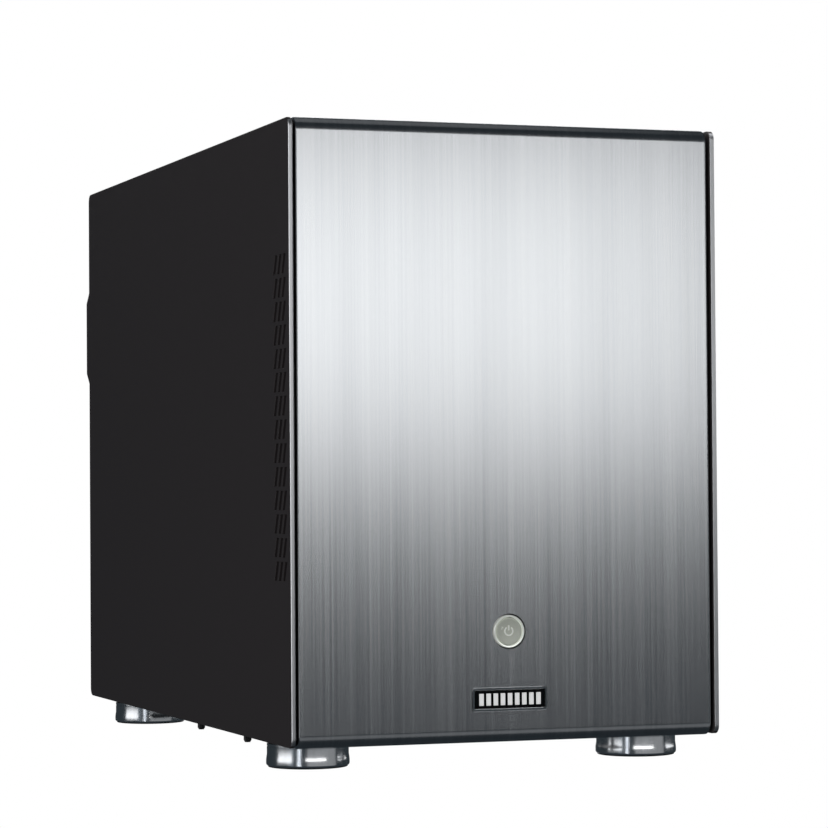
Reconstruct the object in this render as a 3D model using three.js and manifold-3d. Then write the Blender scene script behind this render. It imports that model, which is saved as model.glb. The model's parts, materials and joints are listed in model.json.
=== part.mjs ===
// A compact desktop computer tower, as an assembly of its separate pieces.
// Millimetres. X to the right, Y to the rear, Z up. The origin is on the ground,
// under the middle of the tower's overall box.

import * as THREE from 'three';
import { mergeVertices } from 'three/addons/utils/BufferGeometryUtils.js';
import Module from 'manifold-3d';

const wasm = await Module();
wasm.setup();

// ---- Driving dimensions ----

// Outer shell
const CASE_WIDTH = 198;
const CASE_DEPTH = 368;
const COVER_HEIGHT = 269;
const SIDE_STEP = 0.5;
const SIDE_SHEET = 2;
const SIDE_CORNER = 4;
const COVER_SHEET = 2;
const COVER_ROLL = 5.9;
const COVER_RECESS = 0.8;
const COVER_GAP = 1.2;
const COVER_LIP = 26;
const CHASSIS_SHEET = 1.5;
const SIDE_GAP = 1;
const FLANGE = 13;
const CLEAR = 0.3;
const OVERCUT = 1;

// Pull tab on a side panel's rear edge
const TAB_REACH = 6;
const TAB_LOW = 167;
const TAB_ROOT = 49;
const TAB_TIP = 37.8;

// Air slots near a side panel's front edge
const SLOT_ROWS = 14;
const SLOT_COLUMNS = 3;
const SLOT_PITCH_Y = 6.1;
const SLOT_PITCH_Z = 10.1;
const SLOT_WIDTH = 3.7;
const SLOT_HEIGHT = 8.3;
const SLOT_LEAN = 3.3;
const SLOT_FROM_FRONT = 5;
const SLOT_LOW = 71;

// Feet
const PAD_RADIUS = 17.5;
const PAD_HEIGHT = 1.5;
const FOOT_RADIUS = 18.3;
const FOOT_WAIST = 17.7;
const FOOT_HEIGHT = 8.9;
const FOOT_EASE = 0.5;
const FOOT_FLARE = 1.3;
const FOOT_FLARE_IN = 0.3;
const FOOT_WAIST_START = 3.6;
const FOOT_COLLAR = 1.2;
const FOOT_COLLAR_OUT = 0.3;
const FOOT_INSET_X = 21;
const FOOT_FROM_FRONT = 44.8;
const FOOT_FROM_REAR = 46.6;

// Ball studs that hold the covers
const STUD_NECK = 2;
const STUD_BALL = 3;
const STUD_LENGTH = 6.5;
const STUD_LOW = 30;
const STUD_HIGH = 238;
const STUD_FROM_FRONT = 38;
const STUD_FROM_REAR = 12;
const STUD_HOLE_CLEAR = 0.5;

// Power button, its ring and its switch
const BUTTON_HEIGHT = 48;
const RING_RADIUS = 7.4;
const RING_WALL = 1.2;
const BUTTON_CLEAR = 0.25;
const BUTTON_DEPTH = 5;
const BUTTON_DISH = 0.6;
const BUTTON_EASE = 0.6;
const BUTTON_TRAVEL = 1.2;
const STEM_RADIUS = 2.2;
const SWITCH_RADIUS = 9.5;
const SWITCH_LENGTH = 14;

// Badge
const BADGE_WIDTH = 34.3;
const BADGE_TALL = 9.9;
const BADGE_RIM = 0.7;
const BADGE_CORNER = 1.2;
const BADGE_THICK = 1;
const BADGE_PROUD = 0.4;
const BADGE_CENTRE = 18.8;
const SWITCH_FLOOR = 2;

// Fans
const FRONT_FAN = 140;
const TOP_FAN = 120;
const COOLER_FAN = 92;
const PSU_FAN = 120;
const FAN_DEPTH = 25;
const COOLER_FAN_DEPTH = 15;
const FAN_RIM = 3;
const FAN_CORNER = 4;
const FAN_HUB_SHARE = 0.16;
const FAN_SEAT_SHARE = 0.17;
const FAN_SCREW_SHARE = 0.0625;
const FAN_SCREW_RADIUS = 2.2;
const FAN_SEAT = 3;
const FAN_STRUTS = 3;
const STRUT_WIDTH = 4;
const STRUT_THICK = 2.5;
const STRUT_OVERLAP = 2;
const STRUT_START = 0.4;
const ROTOR_GAP = 0.6;
const ROTOR_SETBACK = 1;
const BLADE_ROOT = 3;
const FAN_BLADES = 7;
const BLADE_TILT = 0.6;
const BLADE_THICK = 1.6;
const BLADE_CHORD_SHARE = 0.2;
const BLADE_TIP_GAP = 1.8;
const BLADE_MARGIN = 7;
const BLADE_SLOPE = 0.95;
const TOP_FAN_Y = 75;
const VENT_SLOT = 5;
const VENT_PITCH = 9;
const REAR_VENT_ROWS = 5;
const REAR_VENT_RISE = 14;
const REAR_VENT_HALF = 60;

// Power supply
const PSU_WIDTH = 150;
const PSU_DEPTH = 140;
const PSU_HEIGHT = 86;
const PSU_WALL = 1.2;
const PSU_LIFT = 3;
const PSU_FRAME = 3;
const PSU_SIDE_FRAME = 12;
const PSU_FAN_FORWARD = 4;
const PSU_SCREW_INSET = 6;
const PSU_SCREW_RAISED = 16;
const GRILLE_COLUMNS = 9;
const GRILLE_PITCH = 8;
const GRILLE_FROM_SIDE = 20;
const GRILLE_INSET = 12;
const GUARD_THICK = 2;
const GUARD_WIRE = 1.8;
const GUARD_INSET = 2;
const GUARD_RINGS = [0.4, 0.7, 1];
const INLET_WIDTH = 27;
const INLET_TALL = 20;
const INLET_WALL = 2;
const INLET_DEPTH = 18;
const INLET_LIP = 2;
const INLET_PINS = [[-7, -1], [0, 3], [7, -1]];
const PIN_HALF_WIDTH = 1;
const PIN_HALF_TALL = 2;
const PIN_SETBACK = 2;
const SOCKETS_FROM_SIDE = 34;
const INLET_FROM_TOP = 24;
const ROCKER_FROM_TOP = 55;
const PANEL_LIP = 1.2;
const ROCKER_WIDTH = 10;
const ROCKER_TALL = 15;
const ROCKER_TILT = 8;
const ROCKER_CLEAR = 1.1;
const ROCKER_PIVOT = 1;
const ROCKER_BACK = 5;
const ROCKER_TAPER = 2.5;
const ROCKER_SIDE = 1.5;
const ROCKER_END = 3.4;
const ROCKER_MIDDLE = 2.2;
const BEZEL_WALL = 2;
const BEZEL_LIP = 1.2;
const BEZEL_DEPTH = 13.5;
const BEZEL_FLOOR = 1.5;
const SCREW_HEAD = 3.2;
const SCREW_HEAD_HEIGHT = 2.2;
const SCREW_DOME = 1.1;
const SCREW_SHANK = 1.5;
const SCREW_CLEAR = 0.3;
const SCREW_PAST = 2;

// Motherboard and what stands on it
const BOARD = 170;
const BOARD_THICK = 1.6;
const BOARD_FROM_RIGHT = 7;
const STANDOFF = 6.5;
const STANDOFF_RADIUS = 2.8;
const BOARD_HOLE = 1.9;
const BOARD_HOLE_INSET = 6.35;
const BOARD_HOLE_RIGHT_REAR = 10.16;
const BOARD_HOLE_LEFT_REAR = 33;
const BOARD_FROM_REAR = 1.2;
const TRAY_AHEAD = 4;
const TRAY_LIP = 8;
const TRAY_HEIGHT = 131.5;
const PORTS_WIDTH = 158.75;
const PORTS_TALL = 44.45;
const PORTS_BELOW_BOARD = 2.4;
const PORTS_DEPTH = 22;
const PORTS_FROM_EDGE = 1.8;
const PORT_WALL = 2;
const PORT_MOUTH = 8;
const PORT_GAP = 0.5;
const STRIP_INSET = 3;
const STRIP_DEPTH = 12;
const STRIP_THICK = 2;
const SLOT_COVER_WIDTH = 18.4;
const SLOT_COVER_TALL = 106;
const SLOT_OPENING_WIDTH = 13;
const SLOT_OPENING_TALL = 92;
const SLOT_COVER_SHEET = 1;
const SLOT_COVER_GAP = 1.6;
const SLOT_COVER_DROP = 3;
const SLOT_COVER_END = 6;
const MEMORY_LENGTH = 133.35;
const MEMORY_TALL = 31;
const MEMORY_THICK = 1.3;
const MEMORY_SEAT = 2;
const MEMORY_FROM_RIGHT = 8;
const MEMORY_ROWS = [17, 27];
const MEMORY_SOCKET = { end: 3, half: 3, tall: 6 };
const MEMORY_CHIPS = { count: 8, first: 8, pitch: 15, length: 11, low: 12, high: 24, proud: 1.5 };
const GROOVE_HALF = 1;
const CARD_FROM_LEFT = 5;
const CARD_SOCKET = { half: 3.8, front: 140, rear: 51, tall: 11, wall: 2, seat: 3 };
const POWER_SOCKET = { fromLeft: 80, half: 26, depth: 10, tall: 9, plug: 14 };
const DATA_SOCKET = { fromRight: 30, half: 8, depth: 9, tall: 9 };
const SOCKET_FROM_FRONT = 1;
const BRIDGE = { left: 14, front: 50, size: 26, tall: 12 };
const CPU_RIGHT_OF_MIDDLE = 8;
const CPU_FROM_FRONT = 88;
const CPU_HALF = 22;
const CPU_TALL = 5;
const COOLER_SIZE = 88;
const COOLER_TALL = 38;
const COOLER_BASE = 4;
const COOLER_FOOT_HALF = 20;
const COOLER_FOOT_TALL = 4;
const COOLER_FINS = 12;
const FIN_THICK = 1.6;

// Drives and their cage
const BAYS = 4;
const DRIVES = 2;
const BAY_GAP = 4.4;
const BAY_LIFT = 1.2;
const DRIVE_LENGTH = 147;
const DRIVE_WIDTH = 101.6;
const DRIVE_TALL = 26.1;
const CAGE_SHEET = 1.5;
const CAGE_CLEAR = 1.2;
const CAGE_FROM_FAN = 2;
const CAGE_FROM_FLANGE = 1;
const CAGE_BEYOND_DRIVE = 3.3;
const CAGE_TONGUE = 22;
const CAGE_SCREW_FRONT = 42;
const CAGE_SCREW_REAR = 8;
const CAGE_HEAD_RADIUS = 1.9;
const CAGE_HEAD_TALL = 4.4;
const CAGE_SCREW_LEFT = 0.5;
const CAGE_SCREW_RIGHT = 8;
const RAIL_HEIGHT = 7;
const RAIL_PEG = 3;
const PEG_HEIGHT = 6.4;
const PEG_FROM_END = 28;
const PEG_SPACING = 90;
const HANDLE_REACH = 3.2;
const HANDLE_SPAN = 60;
const HANDLE_SHEET = 1.2;
const HANDLE_LOW = 8;
const HANDLE_TALL = 10;
const HANDLE_END = 6;
const BACKPLANE_INSET = 1;
const DRIVE_SOCKET = { low: 3, from: 12, length: 43, tall: 6 };
const DATA_OUTLET = { reach: 9, length: 14 };
const CABLE_RADIUS = 5;
const CABLE_EXIT_RADIUS = 3;
const CABLE_EXIT_DROP = 18;
const DATA_CABLE_RADIUS = 2.5;

// ---- Places that follow from the dimensions ----

const FRONT = -(CASE_DEPTH + TAB_REACH) / 2;
const REAR = FRONT + CASE_DEPTH;
const BODY_BOTTOM = PAD_HEIGHT + CLEAR + FOOT_HEIGHT + CLEAR;
const BODY_TOP = BODY_BOTTOM + COVER_HEIGHT;
const SIDE_BOTTOM = BODY_BOTTOM + SIDE_STEP;
const SIDE_TOP = BODY_TOP - SIDE_STEP;
const SIDE_INNER = CASE_WIDTH / 2 - SIDE_SHEET;
const CHASSIS_HALF = SIDE_INNER - SIDE_GAP;
const FLOOR = SIDE_BOTTOM + CHASSIS_SHEET;
const CEILING = SIDE_TOP - CHASSIS_SHEET;
const COVER_FRONT = FRONT + COVER_RECESS;
const COVER_BACK = COVER_FRONT + COVER_SHEET;
const COVER_HALF = SIDE_INNER - COVER_GAP;
const WALL_FRONT = COVER_FRONT + COVER_LIP + CLEAR;
const WALL_BACK = WALL_FRONT + CHASSIS_SHEET;
const REAR_INNER = REAR - CHASSIS_SHEET;
const FAN_FRONT = WALL_BACK + CLEAR;
const BUTTON_Z = BODY_BOTTOM + BUTTON_HEIGHT;
const BADGE_Z = BODY_BOTTOM + BADGE_CENTRE;
const RING_INNER = RING_RADIUS - RING_WALL;
const BUTTON_RADIUS = RING_INNER - BUTTON_CLEAR;
const TRAY_BOTTOM = FLOOR + TRAY_HEIGHT;
const TRAY_TOP = TRAY_BOTTOM + CHASSIS_SHEET;
const BOARD_BOTTOM = TRAY_TOP + STANDOFF;
const BOARD_TOP = BOARD_BOTTOM + BOARD_THICK;
const BOARD_RIGHT = CASE_WIDTH / 2 - BOARD_FROM_RIGHT;
const BOARD_LEFT = BOARD_RIGHT - BOARD;
const BOARD_REAR = REAR_INNER - BOARD_FROM_REAR;
const BOARD_FRONT = BOARD_REAR - BOARD;
const PORTS_RIGHT = BOARD_RIGHT - PORTS_FROM_EDGE;
const PORTS_LEFT = PORTS_RIGHT - PORTS_WIDTH;
const PORTS_BOTTOM = BOARD_TOP - PORTS_BELOW_BOARD;
const CARD_X = BOARD_LEFT + CARD_FROM_LEFT;
const SLOT_COVER_RIGHT = PORTS_LEFT - SLOT_COVER_GAP;
const SLOT_COVER_LEFT = SLOT_COVER_RIGHT - SLOT_COVER_WIDTH;
const SLOT_COVER_BOTTOM = BOARD_BOTTOM - SLOT_COVER_DROP + SLOT_COVER_END;
const SLOT_COVER_TOP = SLOT_COVER_BOTTOM + SLOT_COVER_TALL;
const PSU_BOTTOM = FLOOR + PSU_LIFT;
const PSU_REAR = REAR_INNER - CLEAR;
const PSU_FRONT = PSU_REAR - PSU_DEPTH;
const PSU_TOP = PSU_BOTTOM + PSU_HEIGHT;
const CAGE_FRONT = FAN_FRONT + FAN_DEPTH + CAGE_FROM_FAN;
const DRIVE_FRONT = CAGE_FRONT + CAGE_SHEET + CAGE_CLEAR;
const DRIVE_REAR = DRIVE_FRONT + DRIVE_WIDTH;
const CAGE_REAR = DRIVE_REAR + CAGE_CLEAR + CAGE_SHEET;
const CAGE_LEFT = -CHASSIS_HALF + CHASSIS_SHEET + CAGE_FROM_FLANGE;
const DRIVE_LEFT = CAGE_LEFT + HANDLE_REACH + CLEAR;
const DRIVE_RIGHT = DRIVE_LEFT + DRIVE_LENGTH;
const CAGE_RIGHT = DRIVE_RIGHT + CAGE_BEYOND_DRIVE;
const CAGE_BOTTOM = FLOOR + CLEAR;
const BAY_PITCH = DRIVE_TALL + BAY_GAP;
const BAY_BOTTOM = SIDE_BOTTOM + FLANGE + BAY_LIFT;
const CAGE_TOP = BAY_BOTTOM + BAYS * BAY_PITCH + CAGE_SHEET;
const SCREW_REACH = CAGE_SHEET + CHASSIS_SHEET + 2 * CLEAR;

// ---- Finishes ----

const FINISHES = {
  brushed_cover: { color: 0xc4c6c9, roughness: 0.35, metalness: 1 },
  black_sheet: { color: 0x252425, roughness: 0.55, metalness: 0.3 },
  polished_metal: { color: 0xd5d7da, roughness: 0.12, metalness: 1 },
  bright_metal: { color: 0xb4b6b9, roughness: 0.3, metalness: 1 },
  black_rubber: { color: 0x17171a, roughness: 0.9, metalness: 0 },
  black_plastic: { color: 0x1b1b1d, roughness: 0.5, metalness: 0 },
  pale_plastic: { color: 0xe6ecef, roughness: 0.3, metalness: 0 },
  zinc_sheet: { color: 0xa3a5a6, roughness: 0.4, metalness: 1 },
  board_green: { color: 0x1d3a2a, roughness: 0.5, metalness: 0 },
};

// ---- Solids from geometries ----

function signedVolume(position, index) {
  const a = new THREE.Vector3();
  const b = new THREE.Vector3();
  const c = new THREE.Vector3();
  let volume = 0;
  for (let i = 0; i < index.length; i += 3) {
    a.fromBufferAttribute(position, index[i]);
    b.fromBufferAttribute(position, index[i + 1]);
    c.fromBufferAttribute(position, index[i + 2]);
    volume += a.dot(b.cross(c)) / 6;
  }
  return volume;
}

// A closed geometry as a solid, without doubled vertices or folded triangles, faces outward.
function toSolid(geometry) {
  geometry.deleteAttribute('normal');
  geometry.deleteAttribute('uv');
  const merged = mergeVertices(geometry, 1e-4);
  const source = merged.index.array;
  const kept = [];
  for (let i = 0; i < source.length; i += 3) {
    const [a, b, c] = [source[i], source[i + 1], source[i + 2]];
    if (a !== b && b !== c && c !== a) {
      kept.push(a, b, c);
    }
  }
  if (signedVolume(merged.attributes.position, kept) < 0) {
    kept.reverse();
  }
  return new wasm.Manifold(new wasm.Mesh({
    numProp: 3,
    vertProperties: new Float32Array(merged.attributes.position.array),
    triVerts: new Uint32Array(kept),
  }));
}

function toGeometry(solid) {
  const mesh = solid.getMesh();
  const geometry = new THREE.BufferGeometry();
  geometry.setAttribute('position', new THREE.BufferAttribute(mesh.vertProperties, 3));
  geometry.setIndex(new THREE.BufferAttribute(mesh.triVerts, 1));
  geometry.computeVertexNormals();
  return geometry;
}

// A box between two values on each axis.
function block([x0, x1], [y0, y1], [z0, z1]) {
  const geometry = new THREE.BoxGeometry(x1 - x0, y1 - y0, z1 - z0);
  geometry.translate((x0 + x1) / 2, (y0 + y1) / 2, (z0 + z1) / 2);
  return toSolid(geometry);
}

// The two values that lie `half` either side of a centre.
function around(centre, half) {
  return [centre - half, centre + half];
}

// Turns a geometry made along local Z, or a lathe made round local Y, to face an axis.
const EXTRUDE_TURNS = {
  x: new THREE.Matrix4().set(0, 0, 1, 0, 1, 0, 0, 0, 0, 1, 0, 0, 0, 0, 0, 1),
  y: new THREE.Matrix4().makeRotationX(Math.PI / 2),
  z: new THREE.Matrix4(),
};
const LATHE_TURNS = {
  x: new THREE.Matrix4().makeRotationZ(-Math.PI / 2),
  y: new THREE.Matrix4(),
  z: new THREE.Matrix4().makeRotationX(Math.PI / 2),
};

// An outline drawn in the plane across an axis, extruded between two values on that axis.
// Outlines are drawn in (Y, Z) for x, in (X, Z) for y and in (X, Y) for z.
function prism(axis, outline, [from, to], curveSegments = 6) {
  const depth = to - from;
  const geometry = new THREE.ExtrudeGeometry(outline, { depth, bevelEnabled: false, curveSegments });
  geometry.applyMatrix4(EXTRUDE_TURNS[axis]);
  const shift = { x: [from, 0, 0], y: [0, to, 0], z: [0, 0, from] }[axis];
  geometry.translate(...shift);
  return toSolid(geometry);
}

// A sheet or block of the same kind, with holes drawn in the same plane cut right through it.
function pierced(axis, outline, holes, [from, to], curveSegments = 6) {
  const whole = prism(axis, outline, [from, to], curveSegments);
  return whole.subtract(prism(axis, holes, [from - OVERCUT, to + OVERCUT], curveSegments));
}

// A round bar along an axis, between two values on it. `centre` gives the other two places.
function rod(axis, centre, radius, [from, to], sides = 20) {
  const geometry = new THREE.CylinderGeometry(radius, radius, to - from, sides);
  geometry.applyMatrix4(LATHE_TURNS[axis]);
  const place = new THREE.Vector3(...centre);
  place[axis] = (from + to) / 2;
  geometry.translate(place.x, place.y, place.z);
  return toSolid(geometry);
}

// A profile of [radius, distance along the axis] points, turned round an axis.
function turned(axis, centre, profile, sides = 24) {
  const points = profile.map(([radius, along]) => new THREE.Vector2(radius, along));
  const geometry = new THREE.LatheGeometry(points, sides);
  geometry.applyMatrix4(LATHE_TURNS[axis]);
  geometry.translate(...centre);
  return toSolid(geometry);
}

function rectangle([u0, u1], [v0, v1]) {
  return polygon([[u0, v0], [u1, v0], [u1, v1], [u0, v1]]);
}

function roundedRectangle([u0, u1], [v0, v1], radius) {
  const path = new THREE.Shape();
  path.moveTo(u0 + radius, v0);
  path.lineTo(u1 - radius, v0);
  path.absarc(u1 - radius, v0 + radius, radius, -Math.PI / 2, 0);
  path.lineTo(u1, v1 - radius);
  path.absarc(u1 - radius, v1 - radius, radius, 0, Math.PI / 2);
  path.lineTo(u0 + radius, v1);
  path.absarc(u0 + radius, v1 - radius, radius, Math.PI / 2, Math.PI);
  path.lineTo(u0, v0 + radius);
  path.absarc(u0 + radius, v0 + radius, radius, Math.PI, Math.PI * 1.5);
  return path;
}

function disc(u, v, radius) {
  const outline = new THREE.Shape();
  outline.absarc(u, v, radius, 0, Math.PI * 2);
  return outline;
}

function polygon(points) {
  return new THREE.Shape(points.map(([u, v]) => new THREE.Vector2(u, v)));
}

function join(pieces) {
  return pieces.reduce((whole, piece) => whole.add(piece));
}

function cut(whole, tools) {
  return tools.reduce((rest, tool) => rest.subtract(tool), whole);
}

function meshOf(name, solid, finish) {
  const mesh = new THREE.Mesh(toGeometry(solid), new THREE.MeshStandardMaterial(FINISHES[finish]));
  mesh.name = name;
  return mesh;
}

// ---- Side panels ----

function slantedSlot(y, z) {
  return polygon([
    [y + SLOT_LEAN, z],
    [y + SLOT_LEAN + SLOT_WIDTH, z],
    [y + SLOT_WIDTH, z + SLOT_HEIGHT],
    [y, z + SLOT_HEIGHT],
  ]);
}

// A stud with a rounded head, standing on `centre` and pointing along +axis or -axis by `way`.
function ballStud(axis, centre, way) {
  const neckEnd = STUD_LENGTH - STUD_BALL;
  const profile = [
    [0, 0],
    [STUD_NECK, 0],
    [STUD_NECK, neckEnd],
    [STUD_BALL, neckEnd + STUD_BALL * 0.6],
    [STUD_BALL, neckEnd + STUD_BALL * 1.2],
    [0, neckEnd + STUD_BALL * 2],
  ];
  const along = profile.map(([radius, reach]) => [radius, reach * way]);
  return turned(axis, centre, along, 8);
}

function studHeights() {
  return [SIDE_BOTTOM + STUD_LOW, SIDE_BOTTOM + STUD_HIGH];
}

function sideStudPlaces() {
  return [FRONT + STUD_FROM_FRONT, REAR - STUD_FROM_REAR];
}

// side is -1 for the left panel and +1 for the right one.
function sidePanel(side) {
  const outline = roundedRectangle([FRONT, REAR], [SIDE_BOTTOM, SIDE_TOP], SIDE_CORNER);
  const slots = [];
  for (let row = 0; row < SLOT_ROWS; row += 1) {
    for (let column = 0; column < SLOT_COLUMNS; column += 1) {
      const y = FRONT + SLOT_FROM_FRONT + column * SLOT_PITCH_Y;
      const z = BODY_BOTTOM + SLOT_LOW + row * SLOT_PITCH_Z;
      slots.push(slantedSlot(y, z));
    }
  }
  const faces = [side * SIDE_INNER, side * CASE_WIDTH / 2].sort((a, b) => a - b);
  const tabBottom = BODY_BOTTOM + TAB_LOW;
  const taper = (TAB_ROOT - TAB_TIP) / 2;
  const tab = polygon([
    [REAR - SIDE_SHEET, tabBottom],
    [REAR, tabBottom],
    [REAR + TAB_REACH, tabBottom + taper],
    [REAR + TAB_REACH, tabBottom + taper + TAB_TIP],
    [REAR, tabBottom + TAB_ROOT],
    [REAR - SIDE_SHEET, tabBottom + TAB_ROOT],
  ]);
  const pieces = [pierced('x', outline, slots, faces, 3), prism('x', tab, faces)];
  for (const y of sideStudPlaces()) {
    for (const z of studHeights()) {
      pieces.push(ballStud('x', [side * (SIDE_INNER + CLEAR), y, z], -side));
    }
  }
  return join(pieces);
}

// ---- Front cover, badge and power button ----

function coverStudPlaces() {
  const half = CHASSIS_HALF - FLANGE;
  return studHeights().flatMap((z) => [[-half, z], [half, z]]);
}

function frontCover() {
  const lipEnd = COVER_FRONT + COVER_LIP;
  const inner = COVER_ROLL - COVER_SHEET;
  const arcY = COVER_FRONT + COVER_ROLL;
  const outline = new THREE.Shape();
  outline.moveTo(lipEnd, BODY_TOP);
  outline.lineTo(arcY, BODY_TOP);
  outline.absarc(arcY, BODY_TOP - COVER_ROLL, COVER_ROLL, Math.PI / 2, Math.PI);
  outline.lineTo(COVER_FRONT, BODY_BOTTOM + COVER_ROLL);
  outline.absarc(arcY, BODY_BOTTOM + COVER_ROLL, COVER_ROLL, Math.PI, Math.PI * 1.5);
  outline.lineTo(lipEnd, BODY_BOTTOM);
  outline.lineTo(lipEnd, BODY_BOTTOM + COVER_SHEET);
  outline.lineTo(arcY, BODY_BOTTOM + COVER_SHEET);
  outline.absarc(arcY, BODY_BOTTOM + COVER_ROLL, inner, Math.PI * 1.5, Math.PI, true);
  outline.lineTo(COVER_BACK, BODY_TOP - COVER_ROLL);
  outline.absarc(arcY, BODY_TOP - COVER_ROLL, inner, Math.PI, Math.PI / 2, true);
  outline.lineTo(lipEnd, BODY_TOP - COVER_SHEET);
  const sheet = prism('x', outline, [-COVER_HALF, COVER_HALF], 4);
  const studs = coverStudPlaces().map(([x, z]) => (
    rod('y', [x, 0, z], STUD_BALL, [COVER_BACK - CLEAR, WALL_BACK + STUD_BALL], 8)
  ));
  const bore = rod('y', [0, 0, BUTTON_Z], RING_RADIUS + CLEAR, [FRONT - OVERCUT, COVER_BACK + OVERCUT], 24);
  return cut(join([sheet, ...studs]), [bore, badgeBlank(CLEAR, BADGE_THICK - BADGE_PROUD + CLEAR)]);
}

// The badge's outline as a slab, widened by `extra` and reaching `depth` behind the cover's face.
function badgeBlank(extra, depth) {
  const halfWidth = BADGE_WIDTH / 2 + extra;
  const halfTall = BADGE_TALL / 2 + extra;
  const outline = roundedRectangle(
    [-halfWidth, halfWidth],
    [BADGE_Z - halfTall, BADGE_Z + halfTall],
    Math.max(BADGE_CORNER + extra, 0.2),
  );
  return prism('y', outline, [COVER_FRONT - BADGE_PROUD, COVER_FRONT + depth], 1);
}

function badgeRim() {
  const window = badgeBlank(-BADGE_RIM, BADGE_THICK);
  return badgeBlank(0, BADGE_THICK - BADGE_PROUD).subtract(window);
}

function badgeInlay() {
  const face = COVER_FRONT - BADGE_PROUD / 2;
  const inlay = badgeBlank(-BADGE_RIM - CLEAR, BADGE_THICK - BADGE_PROUD);
  const infront = block([-BADGE_WIDTH, BADGE_WIDTH], [FRONT - OVERCUT, face], [0, BODY_TOP]);
  return inlay.subtract(infront);
}

function buttonRing() {
  const length = COVER_BACK - COVER_FRONT;
  return turned('y', [0, COVER_FRONT, BUTTON_Z], [
    [RING_INNER, 0],
    [RING_RADIUS, 0],
    [RING_RADIUS, length],
    [RING_INNER, length],
    [RING_INNER, 0],
  ], 24);
}

function powerButton() {
  const tail = SWITCH_LENGTH - BUTTON_TRAVEL;
  const rimY = CLEAR;
  return turned('y', [0, COVER_FRONT, BUTTON_Z], [
    [0, rimY + BUTTON_DISH],
    [BUTTON_RADIUS * 0.5, rimY + BUTTON_DISH * 0.75],
    [BUTTON_RADIUS - BUTTON_EASE, rimY],
    [BUTTON_RADIUS, rimY + BUTTON_EASE],
    [BUTTON_RADIUS, BUTTON_DEPTH],
    [STEM_RADIUS, BUTTON_DEPTH],
    [STEM_RADIUS, tail],
    [0, tail],
  ], 24);
}

// The cup behind the cover that holds the ring, guides the button and carries its contacts.
function powerSwitch() {
  const start = COVER_SHEET + CLEAR;
  const hole = STEM_RADIUS + BUTTON_CLEAR * 2;
  return turned('y', [0, COVER_FRONT, BUTTON_Z], [
    [RING_INNER, start],
    [SWITCH_RADIUS, start],
    [SWITCH_RADIUS, SWITCH_LENGTH],
    [hole, SWITCH_LENGTH],
    [hole, SWITCH_LENGTH - SWITCH_FLOOR],
    [RING_INNER, SWITCH_LENGTH - SWITCH_FLOOR],
    [RING_INNER, start],
  ], 24);
}

// ---- Chassis sheets ----

const INNER_Z = [FLOOR + CLEAR, CEILING - CLEAR];
const FLANGE_Z = [FLOOR + FLANGE, CEILING - FLANGE];

// Both side flanges of an upright sheet, running from y0 to y1, drilled for the panels' studs.
function uprightFlanges([y0, y1], studY) {
  const holeRadius = STUD_BALL + STUD_HOLE_CLEAR;
  return [-1, 1].map((side) => {
    const faces = [side * (CHASSIS_HALF - CHASSIS_SHEET), side * CHASSIS_HALF].sort((a, b) => a - b);
    const flange = block(faces, [y0, y1], FLANGE_Z);
    const reach = [faces[0] - OVERCUT, faces[1] + OVERCUT];
    return cut(flange, studHeights().map((z) => rod('x', [0, studY, z], holeRadius, reach, 8)));
  });
}

function frontWall() {
  const outline = rectangle([-CHASSIS_HALF, CHASSIS_HALF], INNER_Z);
  const sheet = prism('y', outline, [WALL_FRONT, WALL_BACK]);
  const drill = [WALL_FRONT - OVERCUT, WALL_BACK + OVERCUT];
  const fanHole = rod('y', [0, 0, frontFanZ()], FRONT_FAN / 2 - FAN_RIM, drill, 28);
  const studHoles = coverStudPlaces().map(([x, z]) => (
    rod('y', [x, 0, z], STUD_BALL + STUD_HOLE_CLEAR, drill, 8)
  ));
  const flangeEnd = FRONT + STUD_FROM_FRONT + FLANGE / 2;
  const flanges = uprightFlanges([WALL_FRONT, flangeEnd], FRONT + STUD_FROM_FRONT);
  return join([cut(sheet, [fanHole, ...studHoles]), ...flanges]);
}

// A level sheet with a flange down each side; `up` is +1 for the bottom sheet, -1 for the top one.
function levelSheet(outerZ, up, holes) {
  const outline = rectangle([-CHASSIS_HALF, CHASSIS_HALF], [WALL_FRONT, REAR]);
  const sheetZ = [outerZ, outerZ + up * CHASSIS_SHEET].sort((a, b) => a - b);
  const flangeZ = [outerZ, outerZ + up * FLANGE].sort((a, b) => a - b);
  const flangeY = [WALL_BACK + CLEAR, REAR_INNER - CLEAR];
  const inner = CHASSIS_HALF - CHASSIS_SHEET;
  const sides = [[-CHASSIS_HALF, -inner], [inner, CHASSIS_HALF]];
  return join([
    pierced('z', outline, holes, sheetZ, 4),
    ...sides.map((faces) => block(faces, flangeY, flangeZ)),
  ]);
}

// Straight slots along Y that together fill a circle.
function ventSlots(centreY, radius) {
  const slots = [];
  const reach = Math.floor((radius - VENT_SLOT) / VENT_PITCH);
  for (let i = -reach; i <= reach; i += 1) {
    const x = i * VENT_PITCH;
    const half = Math.sqrt(radius * radius - x * x) - VENT_SLOT / 2;
    slots.push(rectangle([x - VENT_SLOT / 2, x + VENT_SLOT / 2], [centreY - half, centreY + half]));
  }
  return slots;
}

function cageScrewPlaces() {
  const xs = [CAGE_LEFT + 2 * CAGE_SHEET + CAGE_SCREW_LEFT, CAGE_RIGHT - CAGE_SCREW_RIGHT];
  const ys = [CAGE_FRONT + CAGE_SCREW_FRONT, CAGE_REAR + CAGE_TONGUE - CAGE_SCREW_REAR];
  return xs.flatMap((x) => ys.map((y) => [x, y]));
}

function bottomPanel() {
  const holes = ventSlots(psuFanY(), PSU_FAN / 2 - FAN_RIM);
  for (const [x, y] of cageScrewPlaces()) {
    holes.push(disc(x, y, SCREW_SHANK + SCREW_CLEAR));
  }
  return levelSheet(SIDE_BOTTOM, 1, holes);
}

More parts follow.
